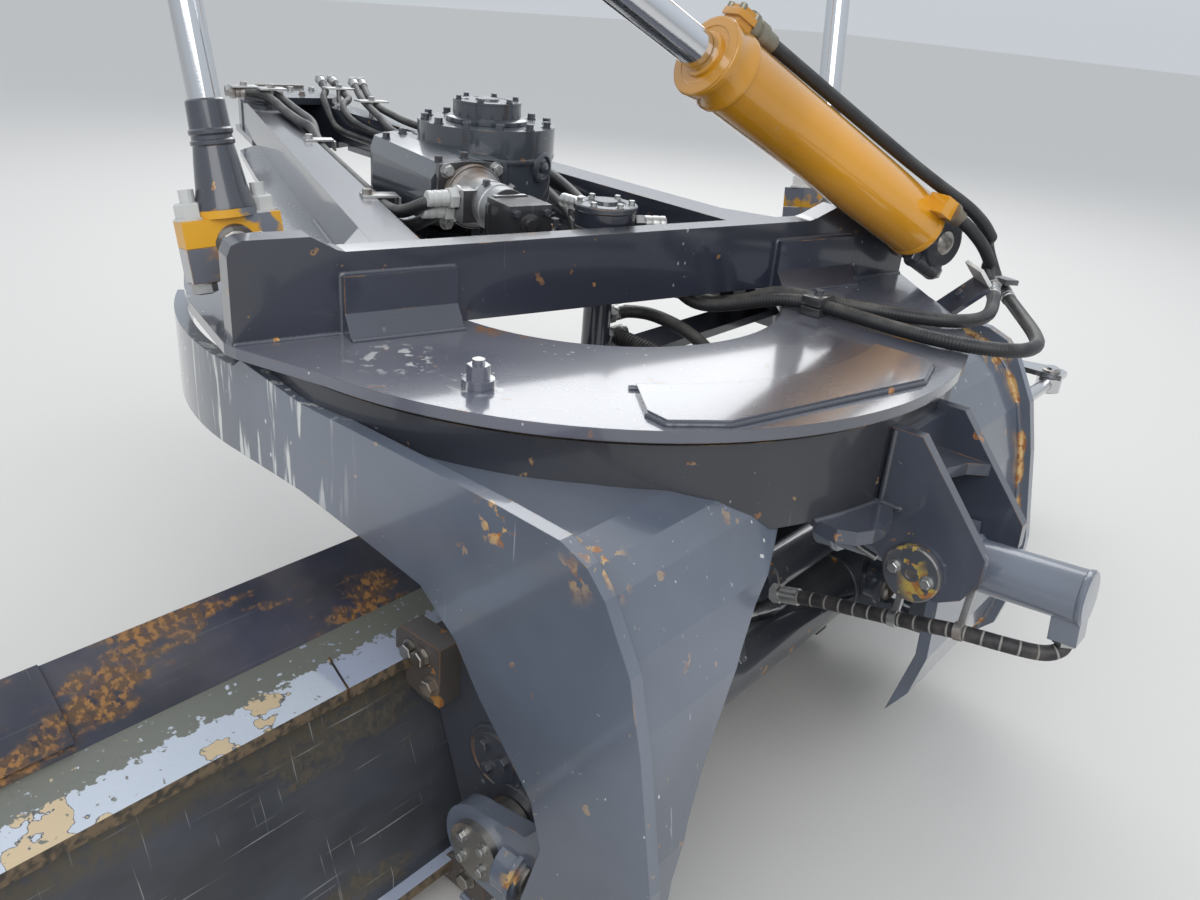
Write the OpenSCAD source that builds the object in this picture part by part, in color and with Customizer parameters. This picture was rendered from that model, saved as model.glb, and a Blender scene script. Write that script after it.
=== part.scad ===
// Motor grader drawbar, circle and moldboard. X is forward, Y left, Z up, in millimetres.
// The origin is the centre of the ball at the drawbar's nose; the deck lies level.

/* [Layout] */
// Distance from the nose ball back to the circle's centre
reach = 2450; // [2300:10:2700]
// Height of the nose ball's centre above the deck's top face
ball_rise = 50; // [40:1:60]
// Turn of the circle from straight ahead as stored
rest_turn = 17; // [0:1:30]

/* [Deck] */
// Radius of the deck's round rear edge
deck_r = 750; // [745:1:765]
// Half width of the deck beside the cross plate
deck_half_w = 792; // [785:1:805]
// Thickness of the deck plate
deck_t = 20; // [16:1:24]
// Radius of the hole in the deck's middle
deck_hole_r = 383; // [360:1:400]
// Thickness of the raised doubler plate on the deck's rear
doubler_t = 10; // [6:1:14]

/* [Cross plate] */
// Rear face of the cross plate, measured from the circle's centre
cross_back = -121; // [-126:1:-116]
// Thickness of the cross plate
cross_t = 50; // [40:1:54]
// Half length of the cross plate
cross_half = 782; // [776:1:788]
// Height of the cross plate between its raised ends
cross_h = 142; // [130:1:150]
// Height of the raised ends
cross_end_h = 170; // [162:1:180]

/* [Beams] */
// Outer face of each beam where it meets the cross plate
beam_out_y = 496; // [480:1:505]
// Inward lean of each beam, sideways over forward
beam_lean = 0.1545; // [0.15:0.0005:0.158]
// Width of each beam
beam_w = 98; // [90:1:104]
// Height of each beam
beam_h = 107; // [100:1:112]
// Distance from the nose ball back to the beams' nose plate
nose_gap = 170; // [150:5:190]
// Radius of the nose ball
nose_ball_r = 70; // [60:1:76]

/* [Circle] */
// Gear module of the circle's inside teeth
gear_m = 24; // [24:1:24]
// Teeth inside the circle
ring_teeth = 54; // [54:1:54]
// Teeth on the turning pinion
pinion_teeth = 9; // [9:1:9]
// Outside radius of the circle
ring_r = 735; // [725:1:740]
// Inside radius of the lip that the guide shoes hold
lip_r = 600; // [592:1:608]
// Half width between the outer faces of the arms
arm_half = 750; // [742:1:760]
// Thickness of the arms' side plates
arm_t = 25; // [20:1:30]

/* [Blade carrier] */
// Tilt pivot behind the circle's centre
pivot_x = -395; // [-400:1:-390]
// Tilt pivot below the deck's top
pivot_z = -790; // [-795:1:-785]
// Radius of the tilt pivot pins
pivot_pin_r = 40; // [34:1:44]
// Radius of the carrier's cross tube
tube_r = 75; // [68:1:78]

/* [Moldboard] */
// Length of the moldboard
blade_len = 3960; // [3600:10:4300]
// Radius of the moldboard's curved back
blade_r = 413; // [408:1:418]
// Thickness of the moldboard's curved plate
blade_t = 20; // [16:1:24]

/* [Cylinders] */
// Radius of the blade lift rods
lift_rod_r = 27.5; // [25:0.5:30]
// Outside radius of the blade lift barrels
lift_barrel_r = 60; // [56:1:66]
// Radius of the centre shift rod
shift_rod_r = 35; // [30:0.5:38]
// Outside radius of the centre shift barrel
shift_barrel_r = 72; // [68:1:74]
// Outside radius of the tilt barrel
tilt_barrel_r = 46; // [44:1:48]
// Radius of the tilt rod
tilt_rod_r = 22; // [18:0.5:25]

/* [Hidden] */
$fn = 96;
run_gap = 0.05;

cross_front = cross_back + cross_t;
paint = "#3d4149";
yellow = "#e39a12";
steel = "#b9bcc0";
dark = "#222326";
rubber = "#17181a";
rust = "#7a4a2a";

// Outer face of a beam at a distance x from the circle's centre
function beam_y(x) = beam_out_y - beam_lean * (x - cross_front);
// Signed points for the left (s = 1) or the right (s = -1) side
function side(pts, s) = [for (p = pts) [p[0], s * p[1]]];

// Places children from the circle's centre on the deck's top face
module at_circle() {
    translate([-reach, 0, -ball_rise]) children();
}
// Places children in the turned circle's own frame
module turned() {
    at_circle() rotate([0, 0, rest_turn]) children();
}
// Extrudes a side view (x, z) from y0 to y1
module side_view(pts, y0, y1) {
    translate([0, y1, 0]) rotate([90, 0, 0]) linear_extrude(y1 - y0) polygon(pts);
}
// Extrudes a rear view (y, z) from x0 to x1
module rear_view(pts, x0, x1) {
    translate([x0, 0, 0]) rotate([90, 0, 90]) linear_extrude(x1 - x0) polygon(pts);
}
// Extrudes a plan view (x, y) from z0 to z1
module plan_view(pts, z0, z1) {
    translate([0, 0, z0]) linear_extrude(z1 - z0) polygon(pts);
}
// Puts children's z axis along the line from a to b
module along(a, b) {
    d = b - a;
    translate(a) rotate([0, acos(d[2] / norm(d)), atan2(d[1], d[0])]) children();
}
// A round bar along x, y or z
module bar_x(r, x0, x1) {
    translate([x0, 0, 0]) rotate([0, 90, 0]) cylinder(r = r, h = x1 - x0);
}
module bar_y(r, y0, y1) {
    translate([0, y1, 0]) rotate([90, 0, 0]) cylinder(r = r, h = y1 - y0);
}
module bar_z(r, z0, z1) {
    translate([0, 0, z0]) cylinder(r = r, h = z1 - z0);
}

// A hose of radius r through the route's points p, its first side turned towards n
function unit(v) = v / norm(v);
function heading(p, i) = i == 0 ? unit(p[1] - p[0])
    : i == len(p) - 1 ? unit(p[i] - p[i - 1]) : unit(unit(p[i + 1] - p[i]) + unit(p[i] - p[i - 1]));
function level(v, t) = unit(v - (v * t) * t);
function normals(p, i, n) = i == len(p) ? []
    : let (m = level(n, heading(p, i))) concat([m], normals(p, i + 1, m));
module hose(p, r, n = [0, 0, 1]) {
    k = 10;
    m = normals(p, 0, n);
    last = len(p) - 1;
    polyhedron([for (i = [0:last]) let (b = cross(heading(p, i), m[i]))
                    for (j = [0:k - 1]) p[i] + r * (cos(j * 36) * m[i] + sin(j * 36) * b)],
               concat([[for (j = [0:k - 1]) j]], [[for (j = [k - 1:-1:0]) last * k + j]],
                      [for (i = [0:last - 1]) for (j = [0:k - 1]) let (a = i * k + j,
                          b = i * k + (j + 1) % k) each [[a, b + k, b], [a, a + k, b + k]]]));
}

// Drawbar
nose_face = reach - nose_gap;
beam_front = nose_face - 100;
module front_ball() {
    color(steel) {
        sphere(r = nose_ball_r);
        bar_x(42, nose_face - reach + 40, -30);
        translate([nose_face - reach, -110, -110]) cube([40, 220, 200]);
    }
}
module head_plates() {
    y0 = beam_y(beam_front);
    color(paint) at_circle() {
        plan_view([[beam_front, -y0], [nose_face, -y0 + 12], [nose_face, y0 - 12],
                   [beam_front, y0]], 0, beam_h);
        plan_view([[1990, -120], [2060, -170], [nose_face, -160], [nose_face, 160],
                   [2060, 170], [1990, 120]], beam_h, beam_h + 23);
        plan_view([[1850, -90], [1920, -190], [nose_face, -150], [nose_face, 150],
                   [1920, 190], [1850, 90]], -deck_t, 0);
    }
}
module frame_beams() {
    color(paint) at_circle() for (s = [1, -1])
        plan_view(side([[cross_front, beam_out_y], [cross_front, beam_out_y - beam_w],
                        [beam_front, beam_y(beam_front) - beam_w], [beam_front, beam_y(beam_front)]],
                       s), 0, beam_h);
}
deck_side = [[-303, 685], [-132, 781], [-100, deck_half_w], [142, deck_half_w], [245, 778],
             [327, 760], [560, 640], [760, 520], [956, 404], [1296, 354], [1716, 284],
             [1800, 215], [1800, 105], [815, 262], [815, 0], [0, 0]];
module deck() {
    color(paint) at_circle() difference() {
        union() {
            bar_z(deck_r, -deck_t, 0);
            for (s = [1, -1]) plan_view(side(deck_side, s), -deck_t, 0);
        }
        bar_z(deck_hole_r, -deck_t - 1, 1);
        translate([centre_dist, 0, 0]) bar_z(pinion_shaft_r + 15, -deck_t - 1, 1);
    }
}
module deck_doubler() {
    color(paint) at_circle() {
        difference() {
            plan_view([[-622, 312], [-664, 306], [-704, 215], [-688, -222], [-638, -302],
                       [-612, -309], [-480, -270], [-430, 0], [-470, 240]], 0, doubler_t);
            bar_z(deck_hole_r + 205, -1, doubler_t + 1);
        }
        translate([-423, 492, 0]) {
            bar_z(26, 0, 14);
            translate([0, 0, 14]) cylinder(d = 37, h = 22, $fn = 6);
            bar_z(10, 36, 45);
        }
    }
}
module cross_plate() {
    color(paint) at_circle() {
        translate([0, shift_ball[1], shift_ball[2]]) bar_x(60, cross_back, cross_front);
        rear_view([[-cross_half, 0], [cross_half, 0], [cross_half, cross_end_h - 25],
                   [cross_half - 8, cross_end_h - 7], [cross_half - 25, cross_end_h],
                   [648, cross_end_h], [605, cross_h + 4], [590, cross_h],
                   [-460, cross_h], [-478, cross_h + 4], [-541, cross_end_h],
                   [-cross_half + 25, cross_end_h], [-cross_half + 8, cross_end_h - 7],
                   [-cross_half, cross_end_h - 25]], cross_back, cross_front);
    }
}
module plate_pads() {
    color(paint) at_circle() for (s = [1, -1]) {
        y = s > 0 ? [391, 600] : [-590, -371];
        side_view([[cross_back, 0], [cross_back, 104], [cross_back - 16, 104],
                   [cross_back - 16, 40], [cross_back - 47, 0]], y[0], y[1]);
        plan_view(side([[cross_front, beam_y(cross_front)], [cross_front, 610],
                        [180, beam_y(180)]], s), beam_h - 25, beam_h);
    }
    // hose bracket on the deck's rim
    color(paint) at_circle() difference() {
        rotate([0, 0, bracket_angle]) translate([deck_r - 6, 0, -deck_t])
            rotate([0, -40, 0]) translate([0, -43, 0]) cube([110, 86, 10]);
        bar_z(deck_r, -deck_t - 20, 0);
    }
}
bracket_angle = -119;
lift_ball = [115, 715, 109];
lift_ball_r = 48;
module lift_ball_studs() {
    color(steel) at_circle() for (s = [1, -1])
        translate([0, s * lift_ball[1], lift_ball[2]]) {
            bar_x(56, cross_front, cross_front + 25);
            bar_x(25, cross_front, lift_ball[0]);
            translate([lift_ball[0], 0, 0]) sphere(r = lift_ball_r);
        }
}
shift_ball = [-204, -784, 100];
shift_ball_r = 42;
module shift_ball_stud() {
    color(steel) at_circle() translate([0, shift_ball[1], shift_ball[2]]) {
        bar_x(60, cross_back - 12, cross_back);
        bar_x(23, shift_ball[0], cross_back);
        translate([shift_ball[0], 0, 0]) rotate([0, 0, 180]) sphere(r = shift_ball_r);
    }
}
// Guide shoes hook under the circle's lip from inside
lip_top = -30;
lip_bot = -54;
shoe_angles = [58, 128, 180, -128, -58];
module guide_shoes() {
    color(paint) at_circle() for (a = shoe_angles) rotate([0, 0, a - 7])
        rotate_extrude(angle = 14)
            polygon([[lip_r - 42, lip_bot - 22], [lip_r + 24, lip_bot - 22],
                     [lip_r + 24, lip_bot - 2], [lip_r - 2, lip_bot - 2],
                     [lip_r - 2, -deck_t], [lip_r - 42, -deck_t]]);
}
module wear_strip() {
    color("#8a6a3a") at_circle() difference() {
        bar_z(720, lip_top + 0.5, -deck_t);
        bar_z(670, lip_top - 1, -deck_t + 1);
    }
}
// Turning drive
centre_dist = gear_m * (ring_teeth - pinion_teeth) / 2;
pinion_shaft_r = 45;
drum_r = 164;
module swing_gearbox() {
    color(paint) at_circle() translate([centre_dist, 0, 0]) difference() {
        union() {
            bar_z(drum_r + 22, 0, 22);
            bar_z(drum_r - 6, 22, 187);
            bar_z(drum_r, 187, 257);
            bar_z(81, 257, 305);
            // worm housing beside the drum
            intersection() {
                plan_view([[-240, 70], [160, 70], [160, 190], [150, 222], [128, 244], [100, 250],
                           [-240, 250]], 75, 212);
                rear_view([[60, 75], [250, 75], [250, 172], [228, 204], [170, 212], [60, 204]],
                          -241, 161);
            }
        }
        bar_z(pinion_shaft_r + run_gap, -1, 60);
    }
}
module swing_motor() {
    color(dark) at_circle() translate([centre_dist - 240, 165, 138]) {
        rear_view([[-78, -62], [78, -62], [80, 0], [74, 68], [4, 73], [-74, 66], [-80, 0]], -18, 0);
        bar_x(66, -40, -18);
        bar_x(46, -190, -40);
        // port block and end cover
        translate([-120, 30, -34]) cube([70, 36, 66]);
        translate([-285, -48, -42]) cube([95, 96, 76]);
    }
}
spindle_r = 30;
module swivel_body() {
    color(dark) at_circle() difference() {
        union() {
            bar_z(62, 95, 171);
            bar_z(68, 80, 95);
            translate([cross_front, -60, 60]) cube([-cross_front + 60, 120, 20]);
        }
        bar_z(spindle_r + run_gap, 50, 150);
    }
}

// Hoses along the beams and over the deck
hose_r = 14;
motor_routes = [
    [[215, 231.5, 150], [215, 262, 150], [225, 300, 138], [270, 325, 112], [380, 313, 92],
     [600, 278, 88], [1220, 182, 88], [1310, 166, 108], [1370, 162, 124], [1440, 168, 125],
     [1700, 140, 125],
     [1860, 126, 136], [1930, 142, 148], [1965, 185, 148], [1980, 240, 144]],
    [[240, 231.5, 120], [240, 246, 120], [247, 272, 106], [290, 304, 74], [400, 296, 58], [1220, 176, 58],
     [1350, 150, 76], [1440, 128, 112], [1500, 120, 124],
     [1700, 100, 125], [1900, 84, 136], [1985, 100, 148],
     [2025, 145, 148], [2035, 240, 144]]];
right_routes = [
    [[63, -4, 124], [86, -6, 122], [120, -30, 98], [190, -92, 38], [300, -160, 20], [430, -215, 22], [560, -232, 30],
     [700, -216, 36], [1640, -104, 40], [1840, -80, 44], [1900, -74, 90],
     [1960, -74, 142], [2010, -108, 149], [2180, -140, 176]],
    [[55, -32, 108], [76, -45, 106], [120, -76, 80], [190, -128, 40], [300, -196, 24], [430, -250, 26], [560, -262, 48],
     [700, -246, 66], [1640, -119, 70], [1760, -96, 92], [1820, -92, 130],
     [1880, -148, 140], [2000, -165, 146],
     [2180, -182, 176]],
    [[62, 12, 156], [86, 17, 154], [125, 0, 132], [200, -60, 72], [300, -126, 22], [430, -190, 46], [560, -216, 62],
     [700, -228, 92], [1440, -126, 92], [1570, -134, 124], [1740, -158, 136], [1900, -190, 146],
     [2080, -230, 180]],
    [[58, -26, 146], [82, -36, 144], [128, -52, 126], [210, -110, 66], [310, -176, 48], [430, -240, 62], [560, -258, 86],
     [700, -262, 112], [820, -254, 124], [1440, -176, 124], [1740, -186, 136], [1900, -220, 146],
     [2080, -262, 180]]];
deck_routes = [
    [[-21, -60, 134], [-28, -84, 133], [-34, -112, 108], [-40, -150, 40], [-52, -172, -14], [-95, -200, -34],
     [-161, -240, -16], [-241, -287, 18], [-310, -332, 20], [-488, -379, 16], [-596, -423, 16],
     [-667, -500, 16], [-650, -590, 10], [-576, -684, 2], [-450, -800, 0], [-340, -880, 14]],
    [[35, -53, 114], [45, -72, 113], [40, -102, 84], [10, -150, 20], [-30, -205, -26], [-90, -250, -34],
     [-150, -284, -12], [-196, -318, 18], [-270, -364, 18], [-350, -412, 16], [-444, -485, 16],
     [-493, -549, 16], [-490, -640, 14], [-412, -762, 14], [-345, -836, 30]]];
module drawbar_hoses() {
    color(rubber) at_circle() {
        for (p = motor_routes) hose(p, hose_r);
        for (p = right_routes) hose(p, 12);
        for (p = deck_routes) hose(p, hose_r);
    }
}

// Circle
pressure = 25;
ring_pitch = gear_m * ring_teeth / 2;
pinion_pitch = gear_m * pinion_teeth / 2;
backlash = 1.3;
ring_tip = ring_pitch - 0.72 * gear_m;
ring_root = ring_pitch + gear_m;
pinion_tip = pinion_pitch + 0.8 * gear_m;
pinion_root = pinion_pitch - gear_m;
function inv(a) = tan(a) * 180 / PI - a;
// Half angle of an outside tooth of pitch radius p and half width w at radius r
function half_angle(p, w, r) =
    w / p * 180 / PI + inv(pressure) - inv(acos(min(1, p * cos(pressure) / r)));
function polar(r, a) = [r * cos(a), r * sin(a)];
ring_steps = [for (i = [0:3]) ring_tip + (ring_root - ring_tip) * i / 3];
ring_space_w = PI * gear_m / 4 + backlash / 4;
pinion_w = PI * gear_m / 4 - backlash / 4;
pinion_steps = [for (i = [0:4]) pinion_pitch * cos(pressure) + 0.2
                + (pinion_tip - pinion_pitch * cos(pressure) - 0.2) * i / 4];
// Inner outline of the toothed rim, tooth spaces centred on whole pitches
ring_inner = [for (k = [0:ring_teeth - 1]) let (c = k * 360 / ring_teeth)
    for (q = concat([for (r = ring_steps) [r, -half_angle(ring_pitch, ring_space_w, r)]],
                    [for (i = [3:-1:0]) [ring_steps[i], half_angle(ring_pitch, ring_space_w,
                                                                   ring_steps[i])]]))
        polar(q[0], c + q[1])];
pinion_outline = [for (k = [0:pinion_teeth - 1]) let (c = k * 360 / pinion_teeth)
    for (q = concat([[pinion_root, -half_angle(pinion_pitch, pinion_w, pinion_steps[0]) - 2]],
                    [for (r = pinion_steps) [r, -half_angle(pinion_pitch, pinion_w, r)]],
                    [for (i = [4:-1:0]) [pinion_steps[i], half_angle(pinion_pitch, pinion_w,
                                                                     pinion_steps[i])]],
                    [[pinion_root, half_angle(pinion_pitch, pinion_w, pinion_steps[0]) + 2]]))
        polar(q[0], c + q[1])];
web_r = 675;
web_bot = -80;
rim_bot = -150;
wall_bot = -185;
module circle_ring() {
    color(paint) at_circle() {
        difference() {
            bar_z(ring_r, web_bot, lip_top);
            bar_z(lip_r, lip_bot, lip_top + 1);
            bar_z(web_r, web_bot - 1, lip_bot);
        }
        difference() {
            bar_z(ring_r, rim_bot, web_bot);
            translate([0, 0, rim_bot - 1]) linear_extrude(web_bot - rim_bot + 2)
                polygon(ring_inner);
        }
        difference() {
            bar_z(ring_r, wall_bot, rim_bot);
            bar_z(ring_r - 30, wall_bot - 1, rim_bot + 1);
        }
    }
}
module pinion() {
    color(steel) at_circle() translate([centre_dist, 0, 0]) {
        plan_view(pinion_outline, rim_bot + 2, web_bot - 2);
        bar_z(pinion_shaft_r, web_bot - 2, 50);
    }
}
// Ridge and lower edge of an arm's side plate, seen from the side
arm_ridge = [[152, -43], [-16, -67], [-263, -69], [-371, -69], [-471, -71], [-581, -76],
             [-630, -95], [-663, -130], [-715, -223], [-745, -335], [-788, -553], [-792, -690],
             [-770, -800], [-710, -868]];
arm_lower = [[-560, -880], [-500, -810], [-551, -742], [-585, -611], [-559, -530],
             [-503, -470], [-446, -410], [-389, -331], [-309, -271], [-189, -253], [-4, -228],
             [175, -222], [175, -60]];
// The flange lies inside the side plate's ridge: its outer face down, and its inner face back up
flange_out = [[-100, -88], [-263, -94], [-371, -97], [-471, -98], [-556, -104], [-606, -124],
              [-640, -156], [-688, -236], [-720, -342], [-758, -556], [-764, -690], [-742, -794],
              [-700, -862]];
flange_in = [[-718, -782], [-738, -690], [-733, -556], [-695, -342], [-664, -244], [-620, -174],
             [-592, -148], [-550, -130], [-471, -123], [-371, -122], [-263, -119], [-100, -113]];
// Inner edge of the rear plate, seen from behind
arm_taper = [[270, 10], [300, 10], [300, -183], [361, -230], [415, -270], [464, -320],
             [498, -360], [540, -412], [583, -471], [617, -528], [652, -615], [690, -900],
             [270, -900]];
eye_in = 655;
eye_out = 690;
boss_y = 670;
boss_r = 50;
boss_back = -508;
module arm(s) {
    difference() {
        union() {
            // side plate
            side_view(concat(arm_ridge, arm_lower), s > 0 ? arm_half - arm_t : -arm_half,
                      s > 0 ? arm_half : arm_t - arm_half);
            // top flange bending down into the rear plate
            difference() {
                side_view(concat(flange_out, flange_in), s > 0 ? 280 : arm_t - arm_half,
                          s > 0 ? arm_half - arm_t : -280);
                // tapered inner edge
                rear_view(side(arm_taper, s), -900, -1);
            }
            // skirt that curves in under the deck
            translate([175, 0, 0]) intersection() {
                difference() {
                    bar_z(arm_half, -222, -60);
                    bar_z(arm_half - arm_t, -223, -59);
                }
                plan_view(side([[0, 0], [0, arm_half + 50], [0.8 * arm_half, arm_half + 50]], s), -222, -60);
            }
            // eye plate that carries the tilt pivot
            side_view([[-745, -600], [-750, -690], [-726, -800], [-680, -868], [-560, -885],
                       [-395, -872], [-395, -708], [-500, -690], [-560, -610], [-600, -560]],
                      s > 0 ? eye_in : -eye_out, s > 0 ? eye_out : -eye_in);
            translate([pivot_x, 0, pivot_z])
                bar_y(82, s > 0 ? eye_in : -eye_out, s > 0 ? eye_out : -eye_in);
            // capped boss that faces backward beside the pivot
            translate([0, s * boss_y, pivot_z]) {
                bar_x(boss_r, boss_back, pivot_x - 57);
                bar_x(boss_r + 9, boss_back + 6, boss_back + 16);
            }
        }
        // ring wall
        bar_z(ring_r, wall_bot, 0);
        translate([pivot_x, 0, pivot_z]) bar_y(pivot_pin_r, -900, 900);
        // pocket behind the boss
        translate([0, s * boss_y, pivot_z]) bar_x(boss_r - 2, -580, boss_back);
    }
}
module arm_left() {
    color(paint) turned() arm(1);
}
module arm_right() {
    color(paint) turned() arm(-1);
}
// Clevis that carries the tilt cylinder behind the ring
trunnion = [-818, 0, -286];
clevis_in = 76;
clevis_out = 98;
module tilt_clevis() {
    color(paint) turned() difference() {
        union() {
            for (s = [1, -1]) {
                side_view([[-700, -48], [-782, -48], [-926, -218], [-928, -262], [-904, -304],
                           [-866, -326], [-790, -326], [-735, -260], [-700, -200]],
                          s > 0 ? clevis_in : -clevis_out, s > 0 ? clevis_out : -clevis_in);
                // half-round gusset under the ring wall
                plan_view(side([[-690, clevis_out], [-758, clevis_out], [-774, 130], [-780, 165],
                                [-776, 200], [-760, 230], [-732, 246], [-690, 240]], s),
                          wall_bot - 25, wall_bot);
            }
            // wall and curved web between the plates
            rear_view([[-clevis_in, -150], [clevis_in, -150], [clevis_in, -60],
                       [-clevis_in, -60]], -750, -700);
            plan_view([[-700, -clevis_in], [-848, -clevis_in], [-818, -50], [-800, 0],
                       [-818, 50], [-848, clevis_in], [-700, clevis_in]], -150, -128);
            // junction block for the hoses
            translate([-745, -60, wall_bot - 37]) cube([45, 120, 37]);
        }
        bar_z(ring_r, wall_bot, 0);
        translate(trunnion) bar_y(21, -200, 200);
    }
}
module pivot_pins() {
    color(steel) turned() for (s = [1, -1]) {
        // tilt cylinder's trunnion pin and its cap
        translate(trunnion) {
            bar_y(21, s > 0 ? 49 : -clevis_out, s > 0 ? clevis_out : -49);
            bar_y(48, s > 0 ? clevis_out : -clevis_out - 12, s > 0 ? clevis_out + 12 : -clevis_out);
        }
        translate([pivot_x, 0, pivot_z]) {
            bar_y(pivot_pin_r, s > 0 ? eye_in - 75 : -eye_out, s > 0 ? eye_out : 75 - eye_in);
            bar_y(55, s > 0 ? eye_out : -eye_out - 14, s > 0 ? eye_out + 14 : -eye_out);
            bar_y(52, s > 0 ? tube_half + 2 : -eye_in, s > 0 ? eye_in : -tube_half - 2);
        }
        // domed cap on the boss
        translate([0, s * boss_y, pivot_z]) rotate([0, -90, 0]) rotate_extrude()
            polygon([[0, -boss_back], [40, -boss_back], [40, 6 - boss_back], [32, 13 - boss_back],
                     [18, 18 - boss_back], [0, 20 - boss_back]]);
    }
}
// Hoses from the swivel's foot back under the ring to the junction block
circle_routes = [
    [[0, -30.5, -118], [0, -42, -118], [-10, -54, -118], [-30, -58, -118], [-90, -56, -121], [-150, -50, -125], [-260, -40, -142],
     [-380, -10, -172], [-480, 14, -204], [-600, 28, -206], [-699, 30, -204]],
    [[0, -30.5, -70], [0, -60, -69], [-20, -95, -66], [-70, -116, -66], [-180, -110, -80], [-300, -82, -130],
     [-390, -62, -180], [-480, -40, -206], [-600, -30, -206], [-699, -30, -204]]];
module circle_hoses() {
    color(rubber) turned() for (p = circle_routes) hose(p, hose_r);
}
module torque_bar() {
    color(paint) turned() {
        translate([-45, -700, rim_bot - 28]) cube([90, 1400, 20]);
        for (s = [1, -1]) translate([-45, s > 0 ? 650 : -700, rim_bot - 8]) cube([90, 50, 8]);
        bar_z(spindle_r, rim_bot - 8, 148);
    }
}

// Blade carrier
tilt_lug = [-250, 0, -340];
shift_axis = [-420, 0, -575];
side_barrel_r = 45;
side_rod_r = 24;
bracket_in = 560;
bracket_out = 600;
tube_half = 606;
module carrier_beam() {
    color(paint) turned() difference() {
        union() {
            translate([pivot_x, 0, pivot_z]) bar_y(tube_r, -tube_half, tube_half);
            for (s = [1, -1]) side_view(
                [[-470, -790], [-470, -620], [-440, -520], [-240, -480], [-176, -480],
                 [-176, -600], [-188, -654], [-278, -895], [-296, -930], [-340, -960],
                 [-400, -870]],
                s > 0 ? bracket_in : -bracket_out, s > 0 ? bracket_out : -bracket_in);
            for (s = [1, -1]) {
                side_view([[-460, -765], [-440, -690], [-300, -350], [-285, -306], [-250, -292],
                           [-215, -306], [-203, -345], [-240, -520], [-340, -765]],
                          s > 0 ? 34 : -56, s > 0 ? 56 : -34);
            }
            translate(tilt_lug) bar_y(18, -56, 56);
        }
        for (s = [1, -1]) translate([pivot_x, 0, pivot_z])
            bar_y(pivot_pin_r + run_gap, s > 0 ? eye_in - 80 : -700, s > 0 ? 700 : 80 - eye_in);
        translate(shift_axis) bar_y(side_barrel_r, -700, -500);
    }
}
rail_top = -530;
rail_t = 24;
rail_back = -165;
low_rail_top = -930;
low_rail_back = -285;
shoe_gap = 1.5;
module rail_shoes() {
    color(paint) turned() for (s = [1, -1]) {
        y0 = s > 0 ? bracket_out : -bracket_out - 50;
        // upper shoe wraps the rail's overhanging rear edge
        side_view([[-245, -600], [-245, -478], [-140, -478], [-128, -492],
                   [-128, rail_top + shoe_gap], [rail_back - shoe_gap, rail_top + shoe_gap],
                   [rail_back - shoe_gap, rail_top - rail_t - shoe_gap],
                   [-149, rail_top - rail_t - shoe_gap],
                   [-155, -590], [-200, -600]], y0, y0 + 50);
        // lower shoe wraps the lower rail's rear edge
        side_view([[-370, -985], [-370, -900], [-310, -895], [-270, low_rail_top + shoe_gap],
                   [low_rail_back - shoe_gap, low_rail_top + shoe_gap],
                   [low_rail_back - shoe_gap, low_rail_top - rail_t - shoe_gap],
                   [-235, low_rail_top - rail_t - shoe_gap], [-235, -985]], y0, y0 + 50);
    }
}
module side_shift_barrel() {
    color(paint) turned() translate(shift_axis) difference() {
        union() {
            bar_y(side_barrel_r, -1250, -90);
            bar_y(side_barrel_r + 8, -1250, -1190);
        }
        bar_y(36, -1190, -110);
        bar_y(side_rod_r + run_gap, -1300, -1100);
    }
}

// Moldboard
blade_c = [324, -774];
blade_top = 123.7;
blade_low = 214;
half_len = blade_len / 2;
// A curved strip about the moldboard's axis between two radii and two angles
module blade_strip(r0, r1, a0, a1, y0, y1) {
    translate([blade_c[0], y1, blade_c[1]]) rotate([90, 0, 0])
        rotate([0, 0, a0]) translate([0, 0, 0]) rotate_cut(r0, r1, a1 - a0, y1 - y0);
}
module rotate_cut(r0, r1, a, h) {
    intersection() {
        difference() {
            cylinder(r = r1, h = h, $fn = 180);
            translate([0, 0, -1]) cylinder(r = r0, h = h + 2, $fn = 180);
        }
        translate([0, 0, -2]) linear_extrude(h + 4)
            polygon([[0, 0], [900, 0], polar(900, a / 2) * 1.2, polar(900, a)]);
    }
}
module moldboard_plate() {
    color(rust) turned()
        blade_strip(blade_r - blade_t, blade_r, blade_top, blade_low, -half_len, half_len);
}
module back_box() {
    color(rust) turned() difference() {
        side_view([[-140, rail_top - rail_t], [-170, -654], [-260, -900],
                   [-260, low_rail_top], [0, low_rail_top], [0, rail_top - rail_t]],
                  -half_len, half_len);
        translate([blade_c[0], 0, blade_c[1]]) bar_y(blade_r, -half_len - 1, half_len + 1);
    }
}
module slide_rails() {
    color("#a9adb3") turned() difference() {
        union() {
            translate([rail_back, -half_len, rail_top - rail_t]) cube([200, blade_len, rail_t]);
            translate([low_rail_back, -half_len, low_rail_top - rail_t])
                cube([300, blade_len, rail_t]);
        }
        translate([blade_c[0], 0, blade_c[1]]) bar_y(blade_r, -half_len - 1, half_len + 1);
    }
}
// Thickness of the bolted cutting edge
edge_t = 18;
module cutting_edge() {
    color(steel) turned()
        blade_strip(blade_r - blade_t - edge_t, blade_r - blade_t - 0.3, 196, 219, -half_len, half_len);
}
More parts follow.
